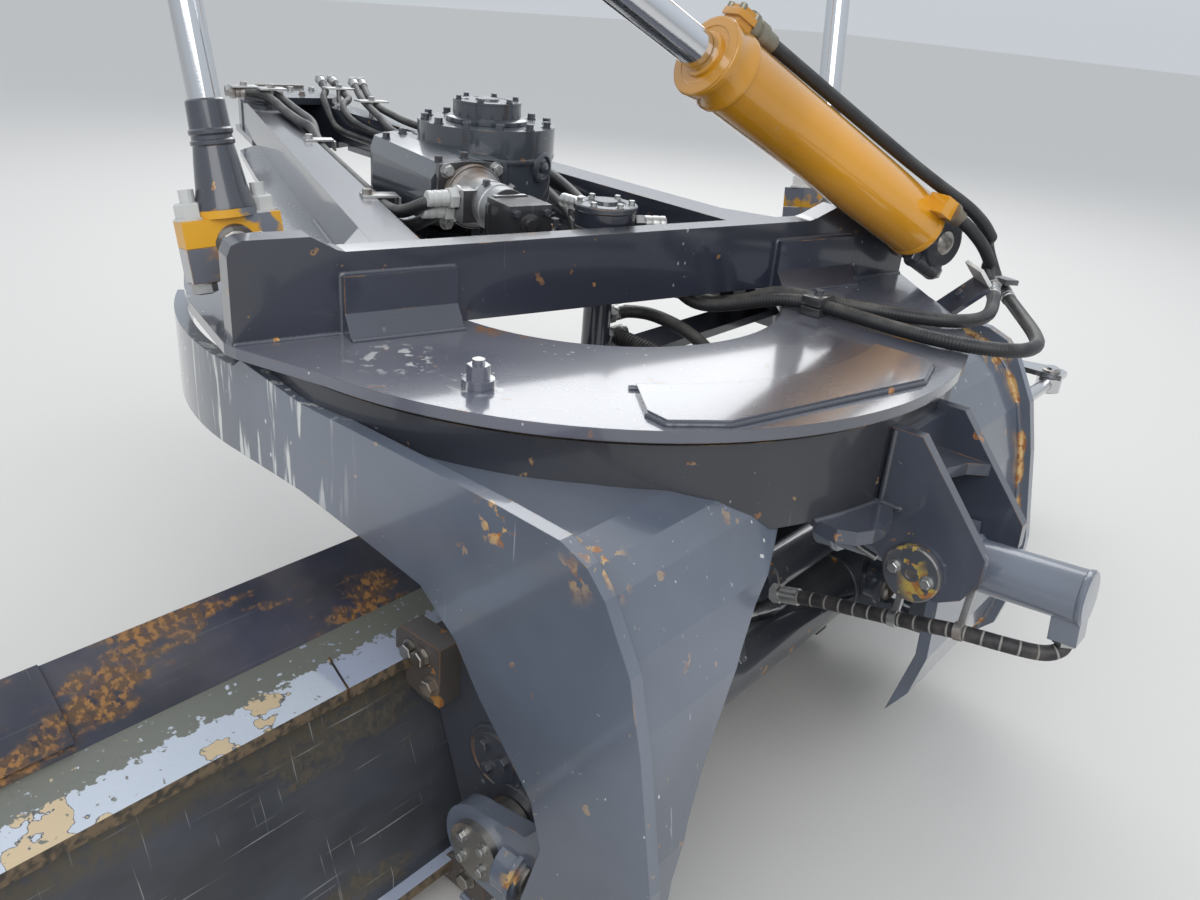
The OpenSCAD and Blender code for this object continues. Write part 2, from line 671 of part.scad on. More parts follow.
// End plates of the back, lapped over it from their seam to the ends
end_t = 8;
end_len = 820;
end_low = 180 - asin((rail_top + 10 - blade_c[1]) / blade_r);
module blade_ends() {
    color(rust) turned() for (s = [1, -1])
        blade_strip(blade_r, blade_r + end_t, blade_top, end_low, s > 0 ? half_len - end_len : -half_len,
                    s > 0 ? half_len : end_len - half_len);
}
lug_y = -half_len - 40;
module side_shift_rod() {
    color(steel) turned() {
        translate(shift_axis) difference() {
            union() {
                bar_y(side_rod_r, lug_y + 30, -640);
                bar_y(35.95, -640, -590);
                translate([0, lug_y, 0]) bar_z(42, -25, 25);
            }
            translate([0, lug_y, 0]) bar_z(20, -26, 26);
        }
    }
    color(paint) turned() {
        difference() {
            plan_view([[-100, -half_len], [-380, -half_len], [-465, lug_y + 30], [-465, lug_y - 35],
                       [-440, lug_y - 55], [-380, lug_y - 55], [-100, lug_y + 30]],
                      shift_axis[2] + 26, shift_axis[2] + 44);
            translate([blade_c[0], 0, blade_c[1]]) bar_y(blade_r, 2 * lug_y, 0);
        }
        translate([shift_axis[0], lug_y, shift_axis[2]]) bar_z(19.9, -30, 60);
    }
}

// Tilt cylinder
module along_tilt() {
    along(trunnion, tilt_lug) children();
}
tilt_len = norm(tilt_lug - trunnion);
tilt_bore_r = 36;
module tilt_barrel() {
    color("#6d7480") turned() difference() {
        union() {
            along_tilt() {
                bar_z(tilt_barrel_r, -257, 220);
                bar_z(tilt_barrel_r + 5, 175, 220);
                translate([38, -24, -255]) cube([44, 48, 46]);
            }
            translate(trunnion) rotate([0, acos((tilt_lug - trunnion)[2] / tilt_len), 0])
                translate([-48, -70, -45]) cube([96, 140, 90]);
        }
        along_tilt() {
            bar_z(tilt_bore_r, -240, 175);
            bar_z(tilt_rod_r + run_gap, 165, 225);
        }
        for (s = [1, -1]) translate(trunnion)
            bar_y(21 + run_gap, s > 0 ? 48 : -80, s > 0 ? 80 : -48);
    }
}
// Guarded hose under the barrel, from its end port
tilt_route = [[-1057, 0, -347.5], [-1059, 3, -366], [-1040, 22, -378], [-985, 48, -376],
              [-905, 60, -382], [-828, 62, -402], [-745, 62, -422], [-646, 62, -444],
              [-575, 64, -464]];
module tilt_hose() {
    color(rubber) turned() hose(tilt_route, 13);
}
module tilt_rod() {
    color(steel) turned() along_tilt() difference() {
        union() {
            bar_z(tilt_rod_r, -148, tilt_len - 38);
            bar_z(tilt_bore_r - run_gap, -188, -148);
            translate([0, 0, tilt_len]) bar_y(46, -28, 28);
        }
        translate([0, 0, tilt_len]) bar_y(29, -29, 29);
    }
}

// Lift cylinders
// Lean of the lift cylinders, forward and outward
lift_fwd = 9.8;
lift_out = 4.4;
lift_gland = 620;
lift_top = 2000;
lift_trunnion = 900;
module lift_frame(s) {
    at_circle() translate([lift_ball[0], s * lift_ball[1], lift_ball[2]])
        rotate([-s * lift_out, lift_fwd, 0]) children();
}
module lift_rod(s) {
    color(steel) lift_frame(s) difference() {
        union() {
            translate([-34, -85, 0.5]) cube([68, 170, 46]);
            bar_z(52, 46, 60);
            bar_z(32, 60, 240);
            bar_z(lift_rod_r, 240, 1440);
            bar_z(49.95, 1440, 1490);
        }
        sphere(r = lift_ball_r + 0.3);
        for (t = [-61, 61]) translate([0, t, 0]) bar_z(9, -1, 47);
    }
}
module lift_cap(s) {
    color(yellow) lift_frame(s) difference() {
        translate([-34, -85, -60]) cube([68, 170, 60]);
        sphere(r = lift_ball_r + 0.3);
        for (t = [-61, 61]) translate([0, t, 0]) bar_z(9, -61, 1);
    }
}
module lift_barrel(s) {
    color(yellow) lift_frame(s) difference() {
        union() {
            bar_z(lift_barrel_r, lift_gland, lift_top);
            bar_z(lift_barrel_r + 8, lift_gland, lift_gland + 60);
            translate([0, 0, lift_trunnion]) for (t = [0, 180]) rotate([0, 0, t])
                bar_x(30, lift_barrel_r - 5, lift_barrel_r + 50);
        }
        bar_z(50, lift_gland + 60, lift_top - 20);
        bar_z(lift_rod_r + run_gap, lift_gland - 1, lift_gland + 61);
    }
}
module lift_rod_left() { lift_rod(1); }
module lift_rod_right() { lift_rod(-1); }
module lift_cap_left() { lift_cap(1); }
module lift_cap_right() { lift_cap(-1); }
module lift_barrel_left() { lift_barrel(1); }
module lift_barrel_right() { lift_barrel(-1); }

// Centre shift cylinder
// Rise of the centre shift cylinder above level
shift_rise = 27.2;
shift_gland = 824;
shift_end = 1240;
module shift_frame() {
    at_circle() translate(shift_ball) rotate([shift_rise - 90, 0, 0]) children();
}
module shift_barrel() {
    color(yellow) shift_frame() difference() {
        union() {
            bar_z(shift_barrel_r, 85, shift_gland);
            bar_z(shift_barrel_r + 3, shift_gland - 60, shift_gland);
            // port bosses
            translate([-20, -106, shift_gland - 54]) cube([40, 40, 40]);
            translate([-100, -62, 112]) cube([50, 40, 40]);
        }
        bar_z(62, 105, shift_gland - 60);
        bar_z(shift_rod_r + run_gap, shift_gland - 61, shift_gland + 1);
    }
}
// Hoses that lie along the barrel
shift_routes = [
    [[-105, -50, -40], [-98, -66, 0], [-84, -76, 60], [-50, -82, 130], [-14, -90, 234],
     [0, -90, shift_gland - 54.5]],
    [[-122, 0, -60], [-124, -20, 0], [-104, -36, 46], [-88, -42, 88], [-88, -42, 111.5]]];
module shift_hoses() {
    color(rubber) shift_frame() for (p = shift_routes) hose(p, hose_r, [1, 0, 0]);
}
module shift_cap() {
    color(dark) shift_frame() {
        // upper half of the socket, with its neck
        difference() {
            union() {
                intersection() {
                    sphere(r = 66);
                    translate([-32, -80, 0.5]) cube([64, 160, 70]);
                }
                for (t = [-56, 56]) translate([0, t, 0]) bar_z(25, 0.5, 38);
                bar_z(40, 40, 85);
            }
            sphere(r = shift_ball_r + 0.3);
            for (t = [-60, 60]) translate([0, t, 0]) bar_z(8, -1, 50);
        }
        // lower half
        difference() {
            union() {
                intersection() {
                    sphere(r = 62);
                    translate([-32, -80, -70]) cube([64, 160, 69.5]);
                }
                for (t = [-56, 56]) translate([0, t, 0]) bar_z(25, -42, -0.5);
            }
            sphere(r = shift_ball_r + 0.3);
            for (t = [-60, 60]) translate([0, t, 0]) bar_z(8, -60, 1);
        }
    }
}
module shift_rod() {
    color(steel) shift_frame() difference() {
        union() {
            bar_z(61.95, 380, 430);
            bar_z(shift_rod_r, 430, shift_end - 30);
            translate([0, 0, shift_end]) bar_x(60, -35, 35);
        }
        translate([0, 0, shift_end]) bar_x(36, -36, 36);
    }
}

front_ball();
head_plates();
frame_beams();
deck();
deck_doubler();
cross_plate();
plate_pads();
lift_ball_studs();
shift_ball_stud();
guide_shoes();
wear_strip();
swing_gearbox();
swing_motor();
swivel_body();
drawbar_hoses();
circle_ring();
arm_left();
arm_right();
tilt_clevis();
pivot_pins();
torque_bar();
circle_hoses();
pinion();
carrier_beam();
rail_shoes();
side_shift_barrel();
moldboard_plate();
back_box();
slide_rails();
cutting_edge();
blade_ends();
side_shift_rod();
tilt_barrel();
tilt_hose();
tilt_rod();
lift_rod_left();
lift_rod_right();
lift_cap_left();
lift_cap_right();
lift_barrel_left();
lift_barrel_right();
shift_barrel();
shift_hoses();
shift_cap();
shift_rod();
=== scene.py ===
from math import cos, pi, radians, sin, tau

import bmesh
import bpy
from mathutils import Matrix, Vector


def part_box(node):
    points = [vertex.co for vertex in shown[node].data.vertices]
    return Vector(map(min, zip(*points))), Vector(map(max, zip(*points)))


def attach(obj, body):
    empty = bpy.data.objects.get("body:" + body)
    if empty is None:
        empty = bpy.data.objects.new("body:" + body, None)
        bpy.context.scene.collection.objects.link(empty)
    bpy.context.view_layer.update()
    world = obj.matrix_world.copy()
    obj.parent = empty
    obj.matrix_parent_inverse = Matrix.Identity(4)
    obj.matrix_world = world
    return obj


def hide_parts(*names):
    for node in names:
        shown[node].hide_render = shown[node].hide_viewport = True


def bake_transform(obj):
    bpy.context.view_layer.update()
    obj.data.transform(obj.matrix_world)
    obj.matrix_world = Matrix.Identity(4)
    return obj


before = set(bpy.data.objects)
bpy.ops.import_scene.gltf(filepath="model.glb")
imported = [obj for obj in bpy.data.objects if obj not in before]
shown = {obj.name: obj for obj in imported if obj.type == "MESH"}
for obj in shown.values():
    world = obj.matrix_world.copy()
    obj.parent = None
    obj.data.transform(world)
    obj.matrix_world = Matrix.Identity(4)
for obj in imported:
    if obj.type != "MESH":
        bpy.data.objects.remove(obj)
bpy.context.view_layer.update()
up = Vector((0, 0, 1))


# Camera: behind the machine's left side, about 1.55 m over the ground, looking forward
# and down over the circle's left arm.
eye = Vector((-4.187, 1.160, 0.529))
heading, dip, tip = -0.6037, 0.4296, -0.0855
ahead = Vector((cos(heading) * cos(dip), sin(heading) * cos(dip), -sin(dip)))
level = Vector((sin(heading), -cos(heading), 0))
under = ahead.cross(level)
across = cos(tip) * level + sin(tip) * under
below = cos(tip) * under - sin(tip) * level
lens = bpy.data.cameras.new("view_camera")
lens.sensor_width, lens.lens, lens.clip_end = 36, 30.49, 200
camera = bpy.data.objects.new("view_camera", lens)
bpy.context.collection.objects.link(camera)
camera.matrix_world = Matrix.Translation(eye) @ Matrix((across, -below, -ahead)).transposed().to_4x4()
bpy.context.scene.camera = camera
bpy.context.scene.view_settings.view_transform = "Standard"


# Floor and light: a plain pale floor just under the cutting edge, a pale sky and two
# large soft lamps, one high over the machine's front and one behind the camera.
def node_adder(tree, family="ShaderNode"):
    """A function that adds one node of a family, with its inputs and settings."""
    def add(kind, inputs=(), **settings):
        node = tree.nodes.new(family + kind)
        for key, value in settings.items():
            setattr(node, key, value)
        for socket, value in dict(inputs).items():
            if isinstance(value, bpy.types.NodeSocket):
                tree.links.new(value, node.inputs[socket])
            else:
                node.inputs[socket].default_value = value
        return node
    return add


class Finish:
    """A material in the making. Each method adds one shader node and gives its output."""

    def __init__(self, name):
        self.material = bpy.data.materials.new(name)
        self.material.use_nodes = True
        self.material.node_tree.nodes.clear()
        self.add = node_adder(self.material.node_tree)
        self.where = self.add("TexCoord").outputs["Object"]

    def calc(self, op, a, b=0.0, clamp=True):
        return self.add("Math", {0: a, 1: b}, operation=op, use_clamp=clamp).outputs[0]

    def vector(self, op, a, b):
        result = "Value" if op in ("DOT_PRODUCT", "DISTANCE") else "Vector"
        return self.add("VectorMath", {0: a, 1: b}, operation=op).outputs[result]

    def along(self, start, axis):
        """The distance from a place along an axis."""
        return self.vector("DOT_PRODUCT", self.vector("SUBTRACT", self.where, start), axis)

    def upward(self):
        """How far the surface faces up, in the piece's own frame."""
        return self.add("SeparateXYZ", {0: self.add("TexCoord").outputs["Normal"]}).outputs[2]

    def noise(self, scale, detail=4.0, stretch=None, turned=(0, 0, 0)):
        place = self.where
        if stretch:
            place = self.add("Mapping", {"Vector": place, "Scale": stretch, "Rotation": turned}).outputs[0]
        return self.add("TexNoise", {"Vector": place, "Scale": scale, "Detail": detail}).outputs["Fac"]

    def ramp(self, value, low, high, start=0.0, end=1.0):
        return self.add("MapRange", {"Value": value, "From Min": low, "From Max": high,
                                     "To Min": start, "To Max": end}).outputs[0]

    def band(self, value, low, high):
        return self.add("MapRange", {"Value": value, "From Min": low, "From Max": high},
                        interpolation_type="SMOOTHSTEP").outputs[0]

    def blend(self, factor, a, b):
        return self.add("Mix", {0: factor, 6: a, 7: b}, data_type="RGBA").outputs[2]

    def mix(self, factor, a, b):
        return self.add("Mix", {0: factor, 2: a, 3: b}).outputs[0]

    def rounded(self, radius, samples=4):
        return self.add("Bevel", {"Radius": radius}, samples=samples).outputs[0]

    def bump(self, strength, distance, height, normal=None, invert=False):
        inputs = {"Strength": strength, "Distance": distance, "Height": height}
        if normal:
            inputs["Normal"] = normal
        return self.add("Bump", inputs, invert=invert).outputs[0]

    def surface(self, shade, gloss, more=()):
        """Ends the material with its shader and gives the material."""
        inputs = {"Base Color": shade, "Roughness": gloss, **dict(more)}
        self.add("OutputMaterial", {"Surface": self.add("BsdfPrincipled", inputs).outputs[0]})
        return self.material


floor_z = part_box("cutting_edge")[0][2] - 0.004
bpy.ops.mesh.primitive_plane_add(size=90, location=(-2.5, 0, floor_z))
floor = bpy.context.object
floor.name = "floor"
floor.data.materials.append(Finish("pale_floor").surface((0.62, 0.60, 0.57, 1), 0.8))

sky = bpy.data.worlds.new("pale_sky")
sky.use_nodes = True
sky.node_tree.nodes.clear()
add = node_adder(sky.node_tree)
rise = add("SeparateXYZ", {0: add("TexCoord").outputs["Generated"]}).outputs[2]
height = add("MapRange", {"Value": rise, "From Min": 0.0, "From Max": 0.55}).outputs[0]
tone = add("Mix", {0: height, 6: (0.62, 0.66, 0.70, 1), 7: (0.86, 0.92, 1.0, 1)}, data_type="RGBA").outputs[2]
add("OutputWorld", {"Surface": add("Background", {"Color": tone, "Strength": 0.92}).outputs[0]})
bpy.context.scene.world = sky
for name, spot, aim, watts in (("lamp_front", (2.5, -3.5, 4.6), (-2.6, 0, -0.4), 300),
                               ("lamp_rear", (-7.5, 3.0, 4.2), (-2.6, 0, -0.6), 260)):
    lamp = bpy.data.lights.new(name, "AREA")
    lamp.size, lamp.energy = 6.0, watts
    holder = bpy.data.objects.new(name, lamp)
    bpy.context.collection.objects.link(holder)
    holder.location = spot
    holder.rotation_euler = (Vector(aim) - Vector(spot)).to_track_quat("-Z", "Y").to_euler()


# Painted steel plates: sprayed over yellow primer in one coat of blue-grey gloss. Grit
# has put fine scratches in it, dust lies on top, and the edges are chipped.
def painted(name, colour, chips=0.25, dust=0.3, scratch=0.3, chip_tone=(0.62, 0.30, 0.06, 1),
            coat=1.0, round_edge=0.003, streak=(60, 60, 4), spots=(), fade=1.25, rough=0.33,
            scrapes=(), flecks=0.0, rubbed=None):
    """Paint with chips, scratches and dust. Spots and scrapes are (centre, reach, strength)."""
    f = Finish(name)
    normal = f.add("NewGeometry").outputs["Normal"]
    least = 0.70 - 0.05 * chips
    chip = f.calc("MULTIPLY", f.band(f.noise(26, 5), least, least + 0.015), min(1.0, 3 * chips))
    if round_edge:
        flat, normal = normal, f.rounded(round_edge, 3)
        edge = f.band(f.vector("DOT_PRODUCT", normal, flat), 0.995, 0.80)
        worn = f.band(f.noise(9, 4), 0.62 - 0.3 * chips, 0.70 - 0.3 * chips)
        chip = f.calc("MAXIMUM", chip, f.calc("MULTIPLY", edge, worn))
    for centre, reach, strength in spots:
        near = f.band(f.vector("DISTANCE", f.where, centre), reach, reach * 0.4)
        patch = f.calc("MULTIPLY", near, f.band(f.noise(34, 5), 0.60 - strength, 0.63 - strength))
        chip = f.calc("MAXIMUM", chip, patch)
    if rubbed:
        line, reach = rubbed
        near = 9.0
        for first, last in zip(line, line[1:]):
            run = last - first
            offset = f.vector("SUBTRACT", f.where, first)
            share = f.calc("MULTIPLY", f.vector("DOT_PRODUCT", offset, run), 1 / run.length_squared)
            foot = f.add("VectorMath", {0: run, 3: share}, operation="SCALE").outputs[0]
            near = f.calc("MINIMUM", f.vector("DISTANCE", offset, foot), near, clamp=False)
        width = f.ramp(f.noise(15, 5), 0.40, 0.62, 0.007, reach)
        chip = f.calc("MAXIMUM", chip, f.band(f.calc("SUBTRACT", near, width, clamp=False), 0.003, -0.003))
    light = tuple(min(1, c * fade) for c in colour) + (1,)
    dull = tuple(c * 0.78 for c in colour) + (1,)
    shade = f.blend(f.band(f.noise(1.7, 4), 0.35, 0.65), dull, light)
    x, y, z = streak
    lines = f.calc("MAXIMUM", f.band(f.noise(1, 3, streak), 0.70, 0.76),
                   f.band(f.noise(1, 3, (z * 6, x * 1.3, y), (0.5, 0.2, 0.7)), 0.72, 0.78))
    shade = f.blend(f.calc("MULTIPLY", lines, scratch), shade, (0.42, 0.45, 0.49, 1))
    for centre, reach, strength in scrapes:
        near = f.band(f.vector("DISTANCE", f.where, centre), reach, reach * 0.3)
        rub = f.band(f.noise(1.6, 6, (x * 0.5, y * 0.5, z)), 0.62 - strength, 0.70 - strength)
        shade = f.blend(f.calc("MULTIPLY", near, rub), shade, (0.62, 0.62, 0.60, 1))
    if flecks:
        place = f.add("Mapping", {"Vector": f.where, "Scale": (1.3, 1.3, 0.8)}).outputs[0]
        dots = f.add("TexVoronoi", {"Vector": place, "Scale": 34, "Randomness": 1.0}).outputs["Distance"]
        size = f.ramp(f.noise(4.5, 3), 0.50, 0.70, 0.0, 0.16)
        fleck = f.calc("MULTIPLY", f.calc("LESS_THAN", dots, size), flecks)
        shade = f.blend(fleck, shade, (0.66, 0.66, 0.64, 1))
    lying = f.calc("MULTIPLY", f.band(f.upward(), 0.35, 0.95), f.band(f.noise(3.2, 5), 0.34, 0.72))
    film = f.calc("ADD", f.calc("MULTIPLY", lying, 0.8), f.calc("MULTIPLY", f.noise(5, 4), 0.22))
    film = f.calc("MULTIPLY", film, dust)
    shade = f.blend(film, shade, (0.30, 0.29, 0.28, 1))
    rusty = f.blend(f.band(f.noise(60, 4), 0.45, 0.6), chip_tone, (0.33, 0.13, 0.035, 1))
    gloss = f.calc("ADD", f.calc("MULTIPLY", film, 0.35), rough)
    gloss = f.calc("ADD", gloss, f.calc("MULTIPLY", chip, 0.3))
    peel = f.bump(0.05, 0.002, f.noise(190, 2), normal)
    pits = f.bump(0.35, 0.0012, chip, peel, invert=True)
    return f.surface(f.blend(chip, shade, rusty), gloss, {
        "Normal": pits, "Coat Weight": coat, "Coat Roughness": 0.09, "Coat IOR": 1.5})


def coat_nodes(finish, *nodes):
    """Gives CAD nodes their finish."""
    for node in nodes:
        mesh = shown[node].data
        mesh.materials.clear()
        mesh.materials.append(finish)


coat_nodes(painted("frame_gloss_paint", (0.024, 0.028, 0.044), chips=0.14, dust=0.12, scratch=0.16),
           "frame_beams", "head_plates", "plate_pads", "guide_shoes")


# Bright steel: hard chrome on the rods, and machined or worn steel on pins, gear,
# balls and the cutting edge, with brown stain in the worn places.
def steel_finish(name, tone, rough, stain=0.3, painted_end=None):
    """Brushed steel. A painted end is (its start, the axis away from it, two paint tones)."""
    f = Finish(name)
    fine = f.noise(4, 5, (8, 8, 120))
    cloud = f.noise(7, 8)
    dirty = f.ramp(cloud, 0.68 - stain * 0.4, 0.80 - stain * 0.3)
    shade = f.blend(dirty, tone + (1,), (0.16, 0.10, 0.06, 1))
    gloss = f.calc("MAXIMUM", f.ramp(fine, 0, 1, rough * 0.7, rough * 1.5), dirty, clamp=False)
    gloss = f.calc("MINIMUM", gloss, 0.6, clamp=False)
    bare = f.calc("SUBTRACT", 1.0, f.calc("MULTIPLY", dirty, 0.7, clamp=False), clamp=False)
    if painted_end:
        start, axis, tones = painted_end
        cover = f.calc("LESS_THAN", f.along(start, axis), 0.0, clamp=False)
        shade = f.blend(cover, shade, f.blend(f.ramp(cloud, 0.47, 0.50), *tones))
        bare = f.calc("SUBTRACT", bare, cover)
        gloss = f.mix(cover, gloss, 0.35)
    return f.surface(shade, gloss, {"Metallic": bare, "Normal": f.bump(0.08, 0.001, fine)})


worn_steel = steel_finish("worn_steel", (0.36, 0.34, 0.31), 0.34, 0.35)
coat_nodes(worn_steel, "front_ball")


# Hose clips and nose details: flat steel brackets on the beams hold the hoses, and welds
# join the beams to the nose. Each piece is cut, bent or turned, then painted over.
def at_centre(x, y, z):
    """A place given in millimetres from the circle's centre on the deck's top."""
    return Vector(((x - 2450) / 1000, y / 1000, (z - 50) / 1000))


def finish_piece(name, bm, finish, body, stands_for=()):
    """Turns a bmesh into a piece that rides on a named body, or stays where it is built, and hides the CAD nodes it
    stands for.
    """
    crease = 0.6
    bmesh.ops.recalc_face_normals(bm, faces=bm.faces)
    mesh = bpy.data.meshes.new(name)
    bm.to_mesh(mesh)
    bm.free()
    mesh.polygons.foreach_set("use_smooth", [True] * len(mesh.polygons))
    mesh.set_sharp_from_angle(angle=crease)
    mesh.materials.append(finish)
    piece = bpy.data.objects.new(name, mesh)
    bpy.context.collection.objects.link(piece)
    if isinstance(body, str):
        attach(piece, body)
    else:
        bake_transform(piece)
    if stands_for:
        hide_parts(*stands_for)


def turn(bm, base, axis, profile, sides=32):
    """A turned form: (radius, distance along the axis) pairs in metres, closed at both ends."""
    axis = Vector(axis).normalized()
    side = axis.orthogonal().normalized()
    other = axis.cross(side)
    rings = []
    for radius, along in profile:
        middle = base + axis * along
        rings.append([bm.verts.new(middle + radius * (cos(a) * side + sin(a) * other))
                      for a in [k * tau / sides for k in range(sides)]]
                     if radius > 0 else [bm.verts.new(middle)])
    for ring in (list(reversed(rings[0])), rings[-1]):
        if len(ring) > 1:
            bm.faces.new(ring)
    for lower, upper in zip(rings, rings[1:]):
        for k in range(sides):
            n = (k + 1) % sides
            corners = list(dict.fromkeys([lower[k % len(lower)], lower[n % len(lower)],
                                          upper[n % len(upper)], upper[k % len(upper)]]))
            if len(corners) > 2:
                bm.faces.new(corners)


def slab(bm, outline, depth, soft=0.0, base=None):
    """A flat plate from its outline, the vector of its thickness and the radius of its edges."""
    if base:
        outline = [base + Vector(p) for p in outline]
    face = bm.faces.new([bm.verts.new(p) for p in outline])
    pulled = bmesh.ops.extrude_face_region(bm, geom=[face])["geom"]
    far = [v for v in pulled if isinstance(v, bmesh.types.BMVert)]
    bmesh.ops.translate(bm, verts=far, vec=depth)
    if soft:
        edges = list({e for v in far for e in v.link_edges})
        bmesh.ops.bevel(bm, geom=edges, offset=soft, segments=2, affect="EDGES", profile=0.6)


def square(a, b):
    """The corners of a rectangle, as shares or sizes along its two directions."""
    return (-a, -b), (a, -b), (a, b), (-a, b)


def clip(bm, spot, along, over):
    """A strap that goes out over the hoses and turns down beyond them."""
    foot, reach, drop, half, thick = 0.03, 0.050, 0.026, 0.021, 0.006
    a, b = spot - along * half, spot + along * half
    slab(bm, [a - over * foot, a + over * reach, b + over * reach, b - over * foot], up * thick, 0.0015)
    slab(bm, [a + over * reach, a + over * (reach + thick), b + over * (reach + thick), b + over * reach],
         -up * drop, 0.0015)


beam_taper, beam_start, beam_top = 0.1545, -71, 107
beam_inner, beam_outer = 398, 496


def beam_side(x, half_width):
    """How far from the middle a beam's face stands at x, from its distance at the beam's start."""
    return half_width - beam_taper * (x - beam_start)


bm = bmesh.new()
clip_places, strap_places = (456, 1221), ((1998, -148, 160), (1743, -172, 149))
plate_places = ((1930, 112, 163), (1985, 190, 163))
over_hoses = Vector((-0.15, -1, 0)).normalized()
along_left, along_right = Vector((1, -beam_taper, 0)).normalized(), Vector((1, beam_taper, 0)).normalized()
for x in clip_places:
    clip(bm, at_centre(x, beam_side(x, beam_inner), beam_top + 0.2), along_left, over_hoses)
for place in strap_places:
    a = at_centre(*place)
    slab(bm, [a + over_hoses * p + along_right * q for q, p in
              ((-0.021, -0.05), (-0.021, 0.05), (0.021, 0.05), (0.021, -0.05))], up * 0.006, 0.0015)
    turn(bm, a - up * 0.045, up, [(0.009, 0), (0.009, 0.05)], 12)
for place in plate_places:
    a = at_centre(*place)
    slab(bm, [(*p, 0) for p in square(0.03, 0.045)], up * 0.006, 0.0015, a)
    turn(bm, a - up * 0.032, up, [(0.009, 0), (0.009, 0.034)], 12)
finish_piece("hose_clips", bm, steel_finish("clip_steel", (0.50, 0.50, 0.49), 0.42, 0.15), "drawbar")


# Welds: one rippled bead along each joint, laid by hand and painted over. The bead is a
# round section swept along the joint, whose radius swells with every ripple.
def new_tree(name, start, sockets, end):
    """A Geometry Nodes tree, its inputs' keys, its node adder and its inputs."""
    tree = bpy.data.node_groups.new(name, "GeometryNodeTree")
    face = tree.interface
    face.new_socket(start, in_out="INPUT", socket_type="NodeSocketGeometry")
    keys = {}
    for label in sockets:
        kind = "NodeSocketMaterial" if label == "Finish" else "NodeSocketFloat"
        keys[label] = face.new_socket(label, in_out="INPUT", socket_type=kind).identifier
    face.new_socket(end, in_out="OUTPUT", socket_type="NodeSocketGeometry")
    return tree, keys, node_adder(tree, ""), tree.nodes.new("NodeGroupInput").outputs


def end_tree(tree, node, shape, finish):
    """Ends a tree with plain geometry in its finish."""
    shape = node("GeometryNodeRealizeInstances", {0: shape}).outputs[0]
    shape = node("GeometryNodeSetMaterial", {"Geometry": shape, "Material": finish}).outputs[0]
    tree.links.new(shape, tree.nodes.new("NodeGroupOutput").inputs[0])


def bead_tree():
    """The tree that sweeps a rippled bead along each seam."""
    tree, keys, node, given = new_tree("weld_bead", "Seam", ("Radius", "Ripple Spacing", "Finish"), "Bead")

    def calc(op, *values):
        return node("ShaderNodeMath", dict(enumerate(values)), operation=op).outputs[0]

    seam = node("GeometryNodeMeshToCurve", {0: given["Seam"]}).outputs[0]
    step = calc("MULTIPLY", given["Ripple Spacing"], 0.5)
    seam = node("GeometryNodeResampleCurve", {"Curve": seam, "Length": step}, mode="LENGTH").outputs[0]
    swell = calc("MODULO", node("GeometryNodeInputIndex").outputs[0], 2.0)
    uneven = node("ShaderNodeTexNoise", {"Scale": 40.0, "Detail": 2.0}).outputs[0]
    size = calc("MULTIPLY_ADD", uneven, 0.45, calc("MULTIPLY_ADD", swell, 0.16, 0.75))
    size = calc("MULTIPLY", size, given["Radius"])
    ring = node("GeometryNodeCurvePrimitiveCircle", {"Resolution": 8, "Radius": 1.0}, mode="RADIUS").outputs[0]
    seam = node("GeometryNodeSetCurveRadius", {"Curve": seam, "Radius": size}).outputs[0]
    swept = node("GeometryNodeCurveToMesh", {"Curve": seam, "Profile Curve": ring, "Fill Caps": True})
    if "Scale" in swept.inputs:
        tree.links.new(size, swept.inputs["Scale"])
    end_tree(tree, node, swept.outputs[0], given["Finish"])
    return tree, keys


def grown(name, source, tree, keys, values, body):
    """Runs a Geometry Nodes tree on a mesh and keeps the result as one plain piece."""
    start = bpy.data.objects.new(name + "_source", source)
    bpy.context.collection.objects.link(start)
    rule = start.modifiers.new("rule", "NODES")
    rule.node_group = tree
    for label, value in values.items():
        rule[keys[label]] = value
    mesh = bpy.data.meshes.new_from_object(start.evaluated_get(bpy.context.evaluated_depsgraph_get()))
    mesh.name = name
    bpy.data.objects.remove(start)
    mesh.materials.clear()
    mesh.materials.append(values["Finish"])
    mesh.polygons.foreach_set("material_index", [0] * len(mesh.polygons))
    piece = bpy.data.objects.new(name, mesh)
    bpy.context.collection.objects.link(piece)
    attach(piece, body)
    return piece


weld, weld_keys = bead_tree()


def welds(name, seams, radius, finish, body):
    """Weld beads along seams, each a list of places."""
    verts, edges = [], []
    for seam in seams:
        first = len(verts)
        verts += [tuple(p) for p in seam]
        edges += [(first + k, first + k + 1) for k in range(len(seam) - 1)]
    mesh = bpy.data.meshes.new(name + "_seams")
    mesh.from_pydata(verts, edges, [])
    piece = grown(name, mesh, weld, weld_keys, {"Radius": radius, "Ripple Spacing": 0.011, "Finish": finish},
                  body)
    piece.data.polygons.foreach_set("use_smooth", [True] * len(piece.data.polygons))


weld_paint = painted("weld_paint", (0.032, 0.037, 0.054), chips=0.30, dust=0.25, scratch=0.0, round_edge=0)
seams = []
for s in (1, -1):
    seams.append([at_centre(x, s * beam_side(x, beam_outer), 0) for x in (beam_start, 330, 700)])
    seams.append([at_centre(x, s * beam_side(x, beam_inner), 0) for x in (beam_start, 330, 700, 860)])
    for x, y in ((beam_start, beam_outer), (beam_start, beam_inner), (2180, 146)):
        seams.append([at_centre(x, s * y, 0), at_centre(x, s * y, beam_top)])
    seams.append([at_centre(1990, s * 120, beam_top), at_centre(2060, s * 170, beam_top)])
welds("beam_welds", seams, 0.0065, weld_paint, "drawbar")


